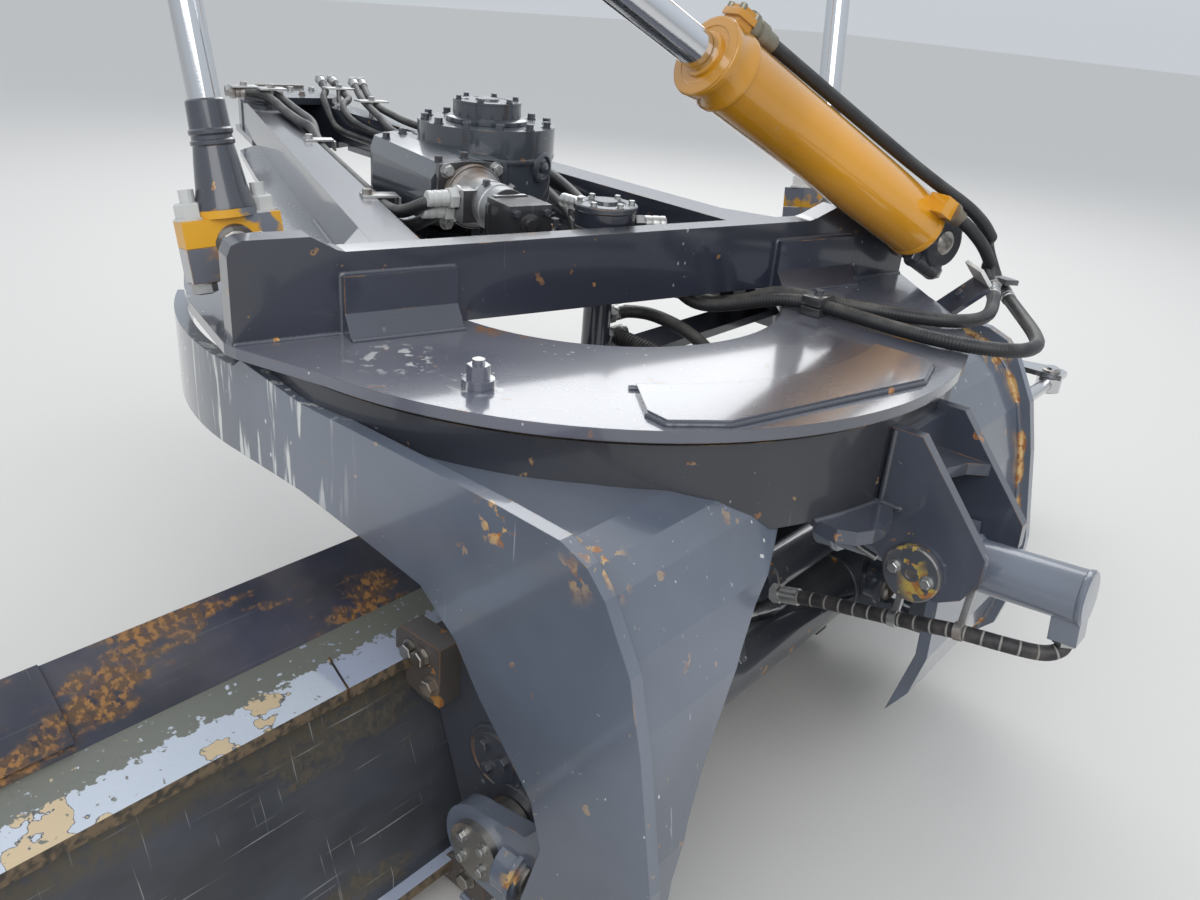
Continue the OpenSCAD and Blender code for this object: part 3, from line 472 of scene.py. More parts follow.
# Bolts: forged hexagon heads with a chamfer on a hardened washer, set along rows. One
# tree places a head on each point, square to that point's face and turned at random.
def bolt_tree():
    """The tree that places a washer, a chamfered head and a stud on each point."""
    tree, keys, node, given = new_tree(
        "hexagon_bolts", "Places", ("Head Radius", "Head Height", "Washer Radius", "Stud Height", "Finish"), "Bolts")

    def times(a, b):
        return node("ShaderNodeMath", {0: a, 1: b}, operation="MULTIPLY").outputs[0]

    def raised(shape, height):
        lift = node("ShaderNodeCombineXYZ", {2: height}).outputs[0]
        return node("GeometryNodeTransform", {"Geometry": shape, "Translation": lift}).outputs[0]

    def round_bar(sides, radius, depth):
        return node("GeometryNodeMeshCylinder", {"Vertices": sides, "Radius": radius, "Depth": depth}).outputs[0]

    radius, height = given["Head Radius"], given["Head Height"]
    thick = times(height, 0.2)
    washer = round_bar(20, given["Washer Radius"], thick)
    head = round_bar(6, radius, height)
    chamfer = node("GeometryNodeMeshCone", {"Vertices": 6, "Radius Top": times(radius, 0.86),
                                            "Radius Bottom": radius, "Depth": times(height, 0.14)}).outputs[0]
    stud = round_bar(14, times(radius, 0.52), given["Stud Height"])
    one = node("GeometryNodeJoinGeometry")
    top = times(height, 1.2)
    for shape in (raised(washer, times(thick, 0.5)), raised(head, times(height, 0.7)),
                  raised(chamfer, top), raised(stud, top)):
        tree.links.new(shape, one.inputs[0])
    axis = node("GeometryNodeInputNamedAttribute", {"Name": "axis"}, data_type="FLOAT_VECTOR").outputs[0]
    straight = node("FunctionNodeAlignRotationToVector", {"Vector": axis}, axis="Z").outputs[0]
    placed = node("GeometryNodeInstanceOnPoints", {"Points": given["Places"], "Instance": one.outputs[0],
                                                   "Rotation": straight}).outputs[0]
    angle = node("FunctionNodeRandomValue", {"Min": 0.0, "Max": 1.047, "Seed": 7}, data_type="FLOAT")
    spin = node("ShaderNodeCombineXYZ", {2: [o for o in angle.outputs if o.enabled][0]}).outputs[0]
    placed = node("GeometryNodeRotateInstances", {"Instances": placed, "Rotation": spin}).outputs[0]
    end_tree(tree, node, placed, given["Finish"])
    return tree, keys


hexagons, hexagon_keys = bolt_tree()


def bolts(name, rows, radius, height, finish, body, washer=1.25, stud=0.0):
    """Bolt heads on rows of (place, direction), with sizes in metres."""
    mesh = bpy.data.meshes.new(name + "_places")
    mesh.from_pydata([tuple(p) for p, d in rows], [], [])
    axis = mesh.attributes.new("axis", "FLOAT_VECTOR", "POINT")
    axis.data.foreach_set("vector", [c for p, d in rows for c in Vector(d).normalized()])
    grown(name, mesh, hexagons, hexagon_keys,
          {"Head Radius": radius, "Head Height": height, "Washer Radius": radius * washer,
           "Stud Height": max(stud, 0.0005), "Finish": finish}, body)


zinc = steel_finish("zinc_bolts", (0.46, 0.46, 0.45), 0.36, 0.25)
black_bolt = painted("painted_bolts", (0.030, 0.033, 0.045), chips=0.35, dust=0.3, scratch=0.0, round_edge=0)
rows = [(at_centre(x, y, z + 6), up) for x, y, z in strap_places + plate_places]
rows += [(at_centre(x, beam_side(x, beam_inner) + 18, 113), up) for x in clip_places]
rows += [(at_centre(x, s * y, 130), up) for x, y in ((2080, 120), (2220, 120), (2080, 40), (2220, 40))
         for s in (1, -1)]
bolts("beam_bolts", rows, 0.011, 0.009, zinc, "drawbar")
rows = [(at_centre(2320, s * y, z), (1, 0, 0)) for y in (80, 40) for z in (-30, 110) for s in (1, -1)]
bolts("nose_bolts", rows, 0.015, 0.013, black_bolt, "drawbar")


# Deck: one flame-cut plate under gloss paint with dust and dried white flecks; brown
# primer shows beside the hole, and weld beads run along the cross plate's foot.
def arc(start, step, count):
    """Angles in radians that go on from a start by a step, both in degrees."""
    return [radians(start + step * k) for k in range(count)]


def polar(radius, angle):
    """The two sizes of a direction in a plane."""
    return radius * cos(angle), radius * sin(angle)


coat_nodes(painted("deck_gloss_paint", (0.088, 0.093, 0.120), chips=0.12, dust=0.26, scratch=0.22, rough=0.24,
                   chip_tone=(0.20, 0.12, 0.07, 1), flecks=0.7,
                   spots=[(at_centre(-168, 300, 0), 0.10, 0.10), (at_centre(-150, 340, -10), 0.07, 0.12)],
                   scrapes=[(at_centre(-260, 560, 0), 0.10, 0.06), (at_centre(-423, 492, 20), 0.06, 0.10)]),
           "deck", "deck_doubler")
seams = []
for s in (1, -1):
    for start, end in (((-121, 782), (-121, 600)), ((-121, 398), (-168, 398)), ((-71, 782), (-71, 500))):
        seams.append([at_centre(x, s * y, 0) for x, y in (start, end)])
doubler_rim = ((-622, 312), (-664, 306), (-704, 215), (-688, -222), (-638, -302), (-612, -309))
seams.append([at_centre(x, y, 1) for x, y in doubler_rim])
seams.append([at_centre(*polar(588, a), 1) for a in arc(152, 3.5, 16)])
welds("deck_welds", seams, 0.0055, weld_paint, "drawbar")


# Cross plate: a thick upright plate welded over the hole, with raised ends for the balls,
# long backing pads on its rear face and weld round each pad.
plate_paint = painted("plate_gloss_paint", (0.020, 0.023, 0.037), chips=0.12, dust=0.08, scratch=0.10, flecks=0.35)
coat_nodes(plate_paint, "cross_plate", "swivel_body")
seams = []
for y0, y1, s in ((391, 600, 1), (-590, -371, -1)):
    seams.append([at_centre(-121, y, z) for y, z in ((y0, 0), (y0, 104), (y1, 104), (y1, 0))])
    seams.append([at_centre(-168, y0, 1), at_centre(-168, y1, 1)])
    seams.append([at_centre(beam_start, beam_outer * s, beam_top), at_centre(beam_start, 606 * s, beam_top)])
for s in (1, -1):
    seams.append([at_centre(-70.999, s * 715 + y, 109 + z) for y, z in [polar(57, a) for a in arc(0, 15, 25)]])
welds("plate_welds", seams, 0.005, weld_paint, "drawbar")


# Balls and studs: forged and machined steel, greased, with brown grease at the neck.
coat_nodes(worn_steel, "lift_ball_studs", "shift_ball_stud")
coat_nodes(steel_finish("bronze_strip", (0.50, 0.33, 0.12), 0.4, 0.6), "wear_strip")
bm = bmesh.new()
for place, r, way in (((88, 715, 109), 0.030, -1), ((88, -715, 109), 0.030, -1), ((-176, -784, 100), 0.028, 1)):
    turn(bm, at_centre(*place), (way, 0, 0),
         [(r, -0.006), (r + 0.006, -0.002), (r + 0.007, 0.006), (r, 0.011)], 28)
finish_piece("ball_grease_rings", bm, painted("brown_grease", (0.050, 0.035, 0.020), chips=0.0, dust=0.4,
                                              scratch=0.0, rough=0.5), "drawbar")


# Turning gearbox: a cast and turned housing with a bolted top cover, a sight plug and a
# worm housing beside it; the motor bolts to the worm housing's rear face.
gear_paint = painted("gearbox_paint", (0.034, 0.042, 0.056), chips=0.10, dust=0.14, scratch=0.2, flecks=0.3,
                     chip_tone=(0.50, 0.26, 0.08, 1))
coat_nodes(gear_paint, "swing_gearbox")
centre = at_centre(540, 0, 0)
bm = bmesh.new()
turn(bm, centre, up, [(0.1645, 0.182), (0.1655, 0.186), (0.1655, 0.190), (0.1645, 0.194)], 72)
turn(bm, centre, up, [(0.0815, 0.256), (0.098, 0.2575), (0.098, 0.266), (0.090, 0.270), (0.0815, 0.270)], 56)
turn(bm, centre, up, [(0.0815, 0.300), (0.0815, 0.306), (0.060, 0.3065), (0.056, 0.3035), (0.030, 0.303),
                      (0.027, 0.310), (0, 0.310)], 48)
turn(bm, centre + up * 0.172, (-0.884, -0.467, 0), [
    (0.036, 0.156), (0.036, 0.166), (0.031, 0.169), (0.026, 0.169), (0.025, 0.164), (0.013, 0.164),
    (0.013, 0.172), (0.010, 0.174), (0, 0.174)], 32)
slab(bm, [at_centre(*p) for p in ((300, 100, 204.5), (690, 100, 204.5), (690, 128, 208.5), (300, 128, 208.5))],
     up * 0.003)
finish_piece("gearbox_turned_rings", bm, gear_paint, "drawbar")


def bolt_circle(base, radius, height, angles):
    """Rows of upright bolts on a circle round a place."""
    return [(base + Vector((*polar(radius, a), height)), up) for a in angles]


rows = bolt_circle(centre, 0.148, 0.257, arc(15, 30, 12))
rows += [(at_centre(x, y, 211 if y < 200 else 204), up) for x, y in
         ((320, 165), (660, 165), (320, 225), (640, 215))]
bolts("gearbox_bolts", rows, 0.0095, 0.010, black_bolt, "drawbar")
rows = bolt_circle(centre, 0.176, 0.022, [a for a in arc(11.25, 22.5, 16) if not 0.9 < a < 2.3])
bolts("gearbox_foot_bolts", rows, 0.014, 0.013, black_bolt, "drawbar")
rows = bolt_circle(centre, 0.070, 0.3065, arc(20, 60, 6))
bolts("gearbox_cap_bolts", rows, 0.007, 0.006, black_bolt, "drawbar")


# Hydraulic motor: black iron flange and end cover, a silver gear section held by long
# bolts, and white oversprayed elbows on its ports.
black = painted("black_motor_paint", (0.016, 0.016, 0.019), chips=0.05, dust=0.35, scratch=0.1)
coat_nodes(black, "swing_motor")
back = Vector((-1, 0, 0))
motor = at_centre(300, 165, 138)
silver = steel_finish("cast_silver", (0.42, 0.42, 0.42), 0.5, 0.45)
bm = bmesh.new()
turn(bm, motor, back, [(0.0665, 0.022), (0.068, 0.024), (0.068, 0.038), (0.056, 0.044), (0.0475, 0.060),
                       (0.0475, 0.092), (0.0500, 0.094), (0.0500, 0.112), (0.0475, 0.114), (0.0475, 0.132),
                       (0.0500, 0.134), (0.0500, 0.152), (0.0475, 0.154), (0.0475, 0.189)], 40)
slab(bm, ((-0.119, 0.030, -0.0345), (-0.049, 0.030, -0.0345), (-0.049, 0.030, 0.0325), (-0.119, 0.030, 0.0325)),
     Vector((0, 0.037, 0)), 0.004, motor)
finish_piece("motor_gear_section", bm, silver, "drawbar")
rows = [(motor + Vector((-0.018, 0.058 * a, 0.055 * b)), back) for a in (1, -1) for b in (1, -1)]
bolts("motor_flange_bolts", rows, 0.0125, 0.012, zinc, "drawbar", stud=0.008)
rows = [(motor + Vector((-0.285, y, z)), back) for z in (-0.028, 0.020) for y in (-0.034, 0.034)]
rows += [(motor + Vector((-0.130, -0.036, 0.034)), (0, -0.6, 0.8)), (motor + Vector((-0.130, 0.020, 0.045)), up)]
bolts("motor_cover_bolts", rows, 0.008, 0.008, black_bolt, "drawbar")
bm = bmesh.new()
slab(bm, [(-0.190, y, z) for y, z in ((-0.052, -0.044), (0.052, -0.044), (0.052, 0.020), (0.036, 0.038),
                                      (-0.036, 0.038), (-0.052, 0.020))], back * 0.012, 0.003, motor)
turn(bm, motor + Vector((-0.284, 0, -0.004)), back,
     [(0.022, 0), (0.022, 0.004), (0.013, 0.005), (0.012, 0.010), (0, 0.010)], 24)
finish_piece("motor_end_ribs", bm, black, "drawbar")


# Hose fittings: a crimped ferrule on the hose's end and a hexagon swivel nut against the
# port, turned from steel; the motor's pair are coated in white overspray.
def fitting(bm, port, way, hose=0.014, nut=0.021):
    """A swivel nut and a ferrule that leave a port in a direction."""
    way = Vector(way).normalized()
    turn(bm, port, way, [(nut, 0), (nut * 1.06, 0.002), (nut * 1.06, 0.018), (nut * 0.95, 0.020)], 6)
    ferrule = ((1.05, 0), (1.22, 0.003), (1.22, 0.016), (1.12, 0.018), (1.22, 0.021), (1.22, 0.033),
               (1.12, 0.035), (1.22, 0.038), (1.20, 0.046), (1.04, 0.048))
    turn(bm, port + way * 0.019, way, [(hose * share, along) for share, along in ferrule], 20)


white = painted("white_overspray", (0.62, 0.62, 0.60), chips=0.25, dust=0.25, scratch=0.0,
                chip_tone=(0.10, 0.10, 0.11, 1), fade=1.15, round_edge=0, coat=0.3)
bm = bmesh.new()
for x, z in ((215, 150), (240, 120)):
    fitting(bm, at_centre(x, 231, z), (0, 1, 0), nut=0.022)
    turn(bm, at_centre(x, 226, z), (0, 1, 0), [(0.026, 0), (0.026, 0.006)], 24)
finish_piece("motor_fittings", bm, white, "drawbar")
bm = bmesh.new()
for x, y, z in ((63, -4, 124), (55, -32, 108), (62, 12, 156), (58, -26, 146), (-21, -60, 134), (35, -53, 114)):
    fitting(bm, at_centre(x, y, z), (x, y, 0), 0.012 if x > 40 else 0.014, 0.018)
for tip, before in (((1980, 240, 144), (1965, 185, 148)), ((2035, 240, 144), (2025, 145, 148)),
                    ((2180, -140, 176), (2010, -108, 149)), ((2180, -182, 176), (2000, -165, 146)),
                    ((2080, -230, 180), (1900, -190, 146)), ((2080, -262, 180), (1900, -220, 146)),
                    ((-340, -880, 14), (-450, -800, 0)), ((-345, -836, 30), (-412, -762, 14))):
    a, b = at_centre(*tip), at_centre(*before)
    fitting(bm, a, b - a, 0.013, 0.019)
finish_piece("beam_hose_fittings", bm, zinc, "drawbar")


# Hoses: black rubber over wire braid, run along the beams and over the deck in long soft bends. Their
# tops are lighter from dust and a painted highlight; the rubber shows the bands of its cloth wrap.
def rubber(name, tone, dust):
    """Cloth-wrapped hose rubber with dust and a painted highlight on its upper side."""
    f = Finish(name)
    along = f.add("Attribute", attribute_name="along").outputs["Fac"]
    wrap = f.calc("SINE", f.calc("MULTIPLY", along, 950.0, clamp=False), clamp=False)
    cloud, fine = f.noise(14, 8), f.noise(160, 4)
    # The upper side is lighter: dust, and partly a painted highlight.
    film = f.calc("MULTIPLY", f.ramp(f.upward(), -0.1, 1.0, 0.0, dust), f.ramp(cloud, 0.38, 0.62), clamp=False)
    ridge = f.bump(0.30, 0.0006, f.calc("ADD", wrap, fine, clamp=False))
    return f.surface(f.blend(film, tone, (0.20, 0.19, 0.165, 1)), f.ramp(cloud, 0, 1, 0.34, 0.62), {"Normal": ridge})


def soft_bends(points, reach=0.09):
    """A route whose corners are rounded, each by as much as its shorter side allows."""
    points = [Vector(p) for p in points]
    path = [points[0]]
    for before, corner, after in zip(points, points[1:], points[2:]):
        start, end = [corner + (p - corner).normalized() * min(reach, 0.48 * (p - corner).length)
                      for p in (before, after)]
        for t in [k / 6 for k in range(7)]:
            path.append(start * (1 - t) ** 2 + corner * 2 * t * (1 - t) + end * t * t)
    return path + [points[-1]]


def sweep(bm, path, radius, sides=14):
    """A round tube along a path that records each ring's distance along it."""
    mark = bm.verts.layers.float.get("along") or bm.verts.layers.float.new("along")
    normal, gone, rings = up, 0.0, []
    for k, p in enumerate(path):
        ahead = (path[min(k + 1, len(path) - 1)] - path[max(k - 1, 0)]).normalized()
        lean = normal.dot(ahead)
        normal = (normal - lean * ahead).normalized() if abs(lean) < 0.999 else ahead.orthogonal()
        cross = ahead.cross(normal)
        gone += (p - path[k - 1]).length if k else 0.0
        rings.append([bm.verts.new(p + radius * (cos(a) * normal + sin(a) * cross))
                      for a in [tau * j / sides for j in range(sides)]])
        for vert in rings[-1]:
            vert[mark] = gone
    bm.faces.new(list(reversed(rings[0])))
    bm.faces.new(rings[-1])
    for lower, upper in zip(rings, rings[1:]):
        for j in range(sides):
            n = (j + 1) % sides
            bm.faces.new([lower[j], lower[n], upper[n], upper[j]])


def run_hoses(bm, place, routes, radius=0.014):
    """Hoses along routes whose points are given in millimetres in a frame."""
    for route in routes:
        sweep(bm, soft_bends([place(*p) for p in route]), radius)


# The last number sets the dust on the hoses' tops, which also stands as their painted highlight.
hose_rubber = rubber("hose_rubber", (0.016, 0.016, 0.018, 1), 0.5)
motor_routes = [
    [[215, 231.5, 150], [215, 262, 150], [225, 300, 138], [270, 325, 112], [380, 313, 92],
     [600, 278, 88], [1220, 182, 88], [1310, 166, 108], [1370, 162, 124], [1440, 168, 125],
     [1700, 140, 125], [1860, 126, 136], [1930, 142, 148], [1965, 185, 148], [1980, 240, 144]],
    [[240, 231.5, 120], [240, 246, 120], [247, 272, 106], [290, 304, 74], [400, 296, 58], [1220, 176, 58],
     [1350, 150, 76], [1440, 128, 112], [1500, 120, 124], [1700, 100, 125], [1900, 84, 136],
     [1985, 100, 148], [2025, 145, 148], [2035, 240, 144]]]
right_routes = [
    [[63, -4, 124], [86, -6, 122], [120, -30, 98], [190, -92, 38], [300, -160, 20], [430, -215, 22],
     [560, -232, 30], [700, -216, 36], [1640, -104, 40], [1840, -80, 44], [1900, -74, 90],
     [1960, -74, 142], [2010, -108, 149], [2180, -140, 176]],
    [[55, -32, 108], [76, -45, 106], [120, -76, 80], [190, -128, 40], [300, -196, 24], [430, -250, 26],
     [560, -262, 48], [700, -246, 66], [1640, -119, 70], [1760, -96, 92], [1820, -92, 130],
     [1880, -148, 140], [2000, -165, 146], [2180, -182, 176]],
    [[62, 12, 156], [86, 17, 154], [125, 0, 132], [200, -60, 72], [300, -126, 22], [430, -190, 46],
     [560, -216, 62], [700, -228, 92], [1440, -126, 92], [1570, -134, 124], [1740, -158, 136],
     [1900, -190, 146], [2080, -230, 180]],
    [[58, -26, 146], [82, -36, 144], [128, -52, 126], [210, -110, 66], [310, -176, 48], [430, -240, 62],
     [560, -258, 86], [700, -262, 112], [820, -254, 124], [1440, -176, 124], [1740, -186, 136],
     [1900, -220, 146], [2080, -262, 180]]]
deck_routes = [
    [[-21, -60, 134], [-28, -84, 133], [-34, -112, 108], [-40, -150, 40], [-52, -172, -14], [-95, -200, -34],
     [-161, -240, -16], [-241, -287, 18], [-310, -332, 20], [-488, -379, 16], [-596, -423, 16],
     [-667, -500, 16], [-650, -590, 10], [-576, -684, 2], [-450, -800, 0], [-340, -880, 14]],
    [[35, -53, 114], [45, -72, 113], [40, -102, 84], [10, -150, 20], [-30, -205, -26], [-90, -250, -34],
     [-150, -284, -12], [-196, -318, 18], [-270, -364, 18], [-350, -412, 16], [-444, -485, 16],
     [-493, -549, 16], [-490, -640, 14], [-412, -762, 14], [-345, -836, 30]]]
bm = bmesh.new()
run_hoses(bm, at_centre, motor_routes + deck_routes)
run_hoses(bm, at_centre, right_routes, 0.012)
finish_piece("drawbar_hose_run", bm, hose_rubber, "drawbar", ("drawbar_hoses",))


# Hose clamps on the deck: a split plastic block on a weld plate, and a bent grey bracket
# on the deck's rim that carries a second clamp.
bm = bmesh.new()
spot = at_centre(-308, -332, 0)
way = Vector((-0.95, -0.30, 0)).normalized()
cross = Vector((0.30, -0.95, 0)).normalized()
for low, high in ((0.001, 0.018), (0.022, 0.040)):
    slab(bm, [spot + way * a + cross * b + up * low for a, b in square(0.022, 0.032)], up * (high - low), 0.002)
slab(bm, ((-0.024, -0.020, 0.016), (0.030, -0.020, 0.016), (0.030, 0.030, 0.022), (-0.024, 0.030, 0.022)),
     up * 0.012, 0.003, at_centre(-352, -868, 14))
finish_piece("deck_hose_clamps", bm, black, "drawbar")
bracket_turn, bracket_lean = radians(-119), radians(40)
out = Vector((*polar(1, bracket_turn), 0))
tilt = out * cos(bracket_lean) + up * sin(bracket_lean)
face_way = up * cos(bracket_lean) - out * sin(bracket_lean)
foot = at_centre(0, 0, -20) + out * 0.744
bolts("deck_small_bolts", [(at_centre(-308, -332, 40), up), (foot + tilt * 0.060 + face_way * 0.010, face_way)],
      0.009, 0.008, black_bolt, "drawbar")
bm = bmesh.new()
plate_end, sideways = foot + tilt * 0.110, out.cross(up)
slab(bm, [plate_end + sideways * a + face_way * b for a, b in
          ((-0.043, 0.010), (0.043, 0.010), (0.043, 0.052), (-0.043, 0.052))], tilt * 0.008, 0.001)
finish_piece("rim_bracket_lip", bm, white, "drawbar")


# Swivel: a turned steel housing with a bolted cover, where oil crosses from the drawbar
# to the turning circle.
bm = bmesh.new()
spot = at_centre(0, 0, 0)
turn(bm, spot, up, [(0.0622, 0.160), (0.0660, 0.163), (0.0660, 0.172), (0.0630, 0.1745), (0.0420, 0.1750),
                    (0.0400, 0.172), (0.0260, 0.172), (0.0240, 0.180), (0, 0.180)], 48)
turn(bm, spot, up, [(0.0622, 0.122), (0.0635, 0.124), (0.0635, 0.128), (0.0622, 0.130)], 48)
finish_piece("swivel_cover", bm, gear_paint, "drawbar")
bolts("swivel_bolts", bolt_circle(spot, 0.053, 0.1748, arc(0, 60, 6)), 0.0068, 0.006, zinc, "drawbar")
bolts("swivel_plate_bolts", [(at_centre(44, y, 80), up) for y in (-48, 48)], 0.010, 0.008, black_bolt,
      "drawbar")


# Circle: a rolled and welded ring with teeth cut inside it, painted outside and greased
# on its teeth; its top is worn where the wear strip rides.
circle_turn = radians(17)


def turned(x, y):
    """Two sizes along the drawbar, from two along the turned circle."""
    return x * cos(circle_turn) - y * sin(circle_turn), x * sin(circle_turn) + y * cos(circle_turn)


def on_circle(x, y, z):
    """A place in the turned circle's own frame, in millimetres."""
    return at_centre(*turned(x, y), z)


def circle_way(x, y, z):
    """A direction in the turned circle's own frame."""
    return Vector((*turned(x, y), z)).normalized()


def near_pivot(x, y, z):
    """A place by the blade's tilt pivot, in millimetres along the circle's own axes."""
    return on_circle(-395 + x, y, -790 + z)


def near_hinge(x, y, z):
    """A place by the tilt cylinder's trunnions."""
    return on_circle(-818 + x, y, -286 + z)


def near_side_rod(y, z=0):
    """A place along the side shift cylinder's axis, or over it."""
    return on_circle(-420, y, -575 + z)


fore, left = circle_way(1, 0, 0), circle_way(0, 1, 0)
ring_radius, ridge_y = 735, 728
coat_nodes(painted("circle_paint", (0.018, 0.020, 0.028), chips=0.18, dust=0.20, scratch=0.2, flecks=0.3, coat=0.5,
                   chip_tone=(0.40, 0.25, 0.11, 1), rough=0.40), "circle_ring")
coat_nodes(plate_paint, "torque_bar")
coat_nodes(steel_finish("greased_gear", (0.22, 0.20, 0.17), 0.32, 0.7), "pinion")


# Arms: bent and rolled plate with a proud side plate, welded along the ridge. Gloss
# blue-grey paint is rubbed by soil into long scratches and chipped to yellow primer.
ridge = ((-100, -88), (-263, -94), (-371, -97), (-471, -98), (-556, -104), (-606, -124), (-640, -156),
         (-688, -236), (-722, -342), (-758, -556), (-764, -690), (-742, -794), (-706, -855))
for s, node in ((1, "arm_left"), (-1, "arm_right")):
    rub = [on_circle(x, s * ridge_y, z) for x, z in ridge[3:]]
    coat_nodes(painted(node + "_paint", (0.092, 0.110, 0.145), chips=0.12, dust=0.14, scratch=0.55,
                       streak=(75, 75, 3), chip_tone=(0.58, 0.36, 0.14, 1), flecks=0.8, rough=0.28,
                       rubbed=(rub, 0.016),
                       spots=[(on_circle(-610, s * 700, -118), 0.070, 0.07),
                              (on_circle(-470, s * ridge_y, -98), 0.06, 0.06),
                              (on_circle(-512, s * 735, -770), 0.05, 0.10)],
                       scrapes=[(on_circle(60, s * 750, -150), 0.24, 0.05),
                                (on_circle(250, s * 700, -160), 0.20, 0.06)]), node)
    seams = [[on_circle(x - 1, s * (ridge_y - 4), z + 1) for x, z in ridge]]
    seams.append([on_circle(x, s * y, -184) for x, y in [polar(ring_radius, a) for a in arc(97, 2.5, 22)]])
    seams.append([on_circle(x, s * (ridge_y - 2), z) for x, z in ((-395, -872), (-500, -884), (-560, -885))])
    arm_weld = painted(node + "_weld_paint", (0.080, 0.095, 0.125), chips=0.2, dust=0.15, scratch=0.0,
                       chip_tone=(0.60, 0.38, 0.15, 1), rubbed=(rub, 0.024), round_edge=0)
    welds(node + "_welds", seams, 0.0062, arm_weld, "circle")


# Tilt clevis and pins: two thick cheeks welded under the ring, with capped pins. Paint
# has come off the pin caps down to yellow primer.
coat_nodes(painted("clevis_paint", (0.048, 0.056, 0.080), chips=0.30, dust=0.2, scratch=0.3, flecks=0.3,
                   chip_tone=(0.30, 0.16, 0.07, 1)), "tilt_clevis")
coat_nodes(worn_steel, "pivot_pins")
cap_paint = painted("pin_cap_paint", (0.055, 0.060, 0.072), chips=1.0, dust=0.25, scratch=0.3,
                    chip_tone=(0.40, 0.29, 0.06, 1), round_edge=0.002,
                    spots=[(on_circle(-838, 112, -300), 0.045, 0.10), (on_circle(-805, 112, -262), 0.040, 0.10)])
bm = bmesh.new()
trunnion_rows, pivot_rows, seams = [], [], []
for s in (1, -1):
    way = s * left
    turn(bm, near_hinge(0, s * 98, 0), way, [
        (0.0485, 0.0005), (0.0515, 0.001), (0.0515, 0.012), (0.0490, 0.0145), (0.0085, 0.0145), (0.0070, 0.008),
        (0, 0.008)], 48)
    trunnion_rows += [(near_hinge(x, s * 112.5, z), way) for x, z in ((30, 4), (-30, -2))]
    pivot_rows += [(near_pivot(x, s * 704, z), way) for x, z in [polar(34, a) for a in arc(45, 90, 4)]]
    seams.append([on_circle(-x, s * y, -186) for x, y in [polar(ring_radius, a) for a in arc(8, 1.2, 11)]])
    seams.append([on_circle(-ring_radius, s * 98, z) for z in (-50, -184)])
    seams.append([on_circle(x, s * 98.5, -185) for x in (-690, -ring_radius, -775)])
finish_piece("trunnion_caps", bm, cap_paint, "circle")
bolts("trunnion_cap_bolts", trunnion_rows, 0.010, 0.008, zinc, "circle")
bolts("pivot_cap_bolts", pivot_rows, 0.009, 0.008, zinc, "circle")
welds("clevis_welds", seams, 0.0055, weld_paint, "circle")


# Circle hoses: two hoses leave the swivel's foot, cross the hole and go back under the
# ring to the junction block; a thin steel pipe runs on to the tilt cylinder.
circle_routes = [
    [[0, -30.5, -118], [0, -42, -118], [-10, -54, -118], [-30, -58, -118], [-90, -56, -121],
     [-150, -50, -125], [-260, -40, -142], [-380, -10, -172], [-480, 14, -204], [-600, 28, -206],
     [-699, 30, -204]],
    [[0, -30.5, -70], [0, -60, -69], [-20, -95, -66], [-70, -116, -66], [-180, -110, -80],
     [-300, -82, -130], [-390, -62, -180], [-480, -40, -206], [-600, -30, -206], [-699, -30, -204]]]
bm = bmesh.new()
run_hoses(bm, on_circle, circle_routes)
path = soft_bends([on_circle(*p) for p in circle_routes[0]])
guard_start, guard_end, guard_coils = path[14], path[30], 14
for k in range(guard_coils):
    turn(bm, guard_start + (guard_end - guard_start) * (k / guard_coils), guard_end - guard_start,
         [(0.0145, 0), (0.0185, 0.002), (0.0185, 0.007), (0.0145, 0.009)], 16)
finish_piece("circle_hose_run", bm, hose_rubber, "circle", ("circle_hoses",))
bm = bmesh.new()
for z in (-118, -70):
    fitting(bm, on_circle(0, -30.5, z), -left, nut=0.019)
for y in (30, -30):
    fitting(bm, on_circle(-699, y, -204), fore, nut=0.019)
    turn(bm, on_circle(-744, y, -204), -fore,
         [(0.019, 0), (0.019, 0.016), (0.013, 0.018), (0.013, 0.034), (0, 0.036)], 6)
pipe_route = ((-700, 60, -222), (-700, 66, -262), (-690, 68, -288), (-700, 70, -298), (-738, 70, -306))
sweep(bm, soft_bends([on_circle(*p) for p in pipe_route], 0.02), 0.006, 10)
finish_piece("circle_hose_fittings", bm, zinc, "circle")


# Blade carrier: a cross tube on the tilt pivots with two cut side plates and the lugs of
# the tilt cylinder; shoes bolted to the plates hold the blade's rails.
carrier_paint = painted("carrier_paint", (0.030, 0.034, 0.046), chips=0.35, dust=0.45, scratch=0.4,
                        chip_tone=(0.40, 0.22, 0.06, 1))
coat_nodes(carrier_paint, "carrier_beam", "side_shift_barrel")
coat_nodes(painted("shoe_paint", (0.050, 0.040, 0.034), chips=0.8, dust=0.6, scratch=0.2, coat=0.2,
                   chip_tone=(0.34, 0.16, 0.04, 1), rough=0.6), "rail_shoes")
bm = bmesh.new()
rows, shoe_rows, seams = [], [], []
disc_x, disc_z = -340, -680
for s in (1, -1):
    way = s * left
    turn(bm, on_circle(disc_x, s * 600, disc_z), way, [
        (0.066, 0.0005), (0.066, 0.003), (0.063, 0.0045), (0.058, 0.0045), (0.057, 0.002), (0.050, 0.002),
        (0.049, 0.006), (0, 0.006)], 48)
    rows += [(on_circle(disc_x + x, s * 606, disc_z + z), way) for x, z in ((-26, 8), (14, -26), (22, 20))]
    shoe_rows += [(on_circle(x, s * 650, z), way) for x, z in
                  ((-200, -512), (-226, -560), (-170, -512), (-330, -942), (-262, -960))]
    turn(bm, near_pivot(0, s * 556, 0), way, [(0.0755, 0), (0.0835, 0.001), (0.0835, 0.004)], 40)
    for y, angles in ((34, arc(20, 11, 12)), (56, arc(20, 11, 12)), (559, arc(0, 10, 37))):
        seams.append([near_pivot(x, s * y, z) for x, z in [polar(75.5, a) for a in angles]])
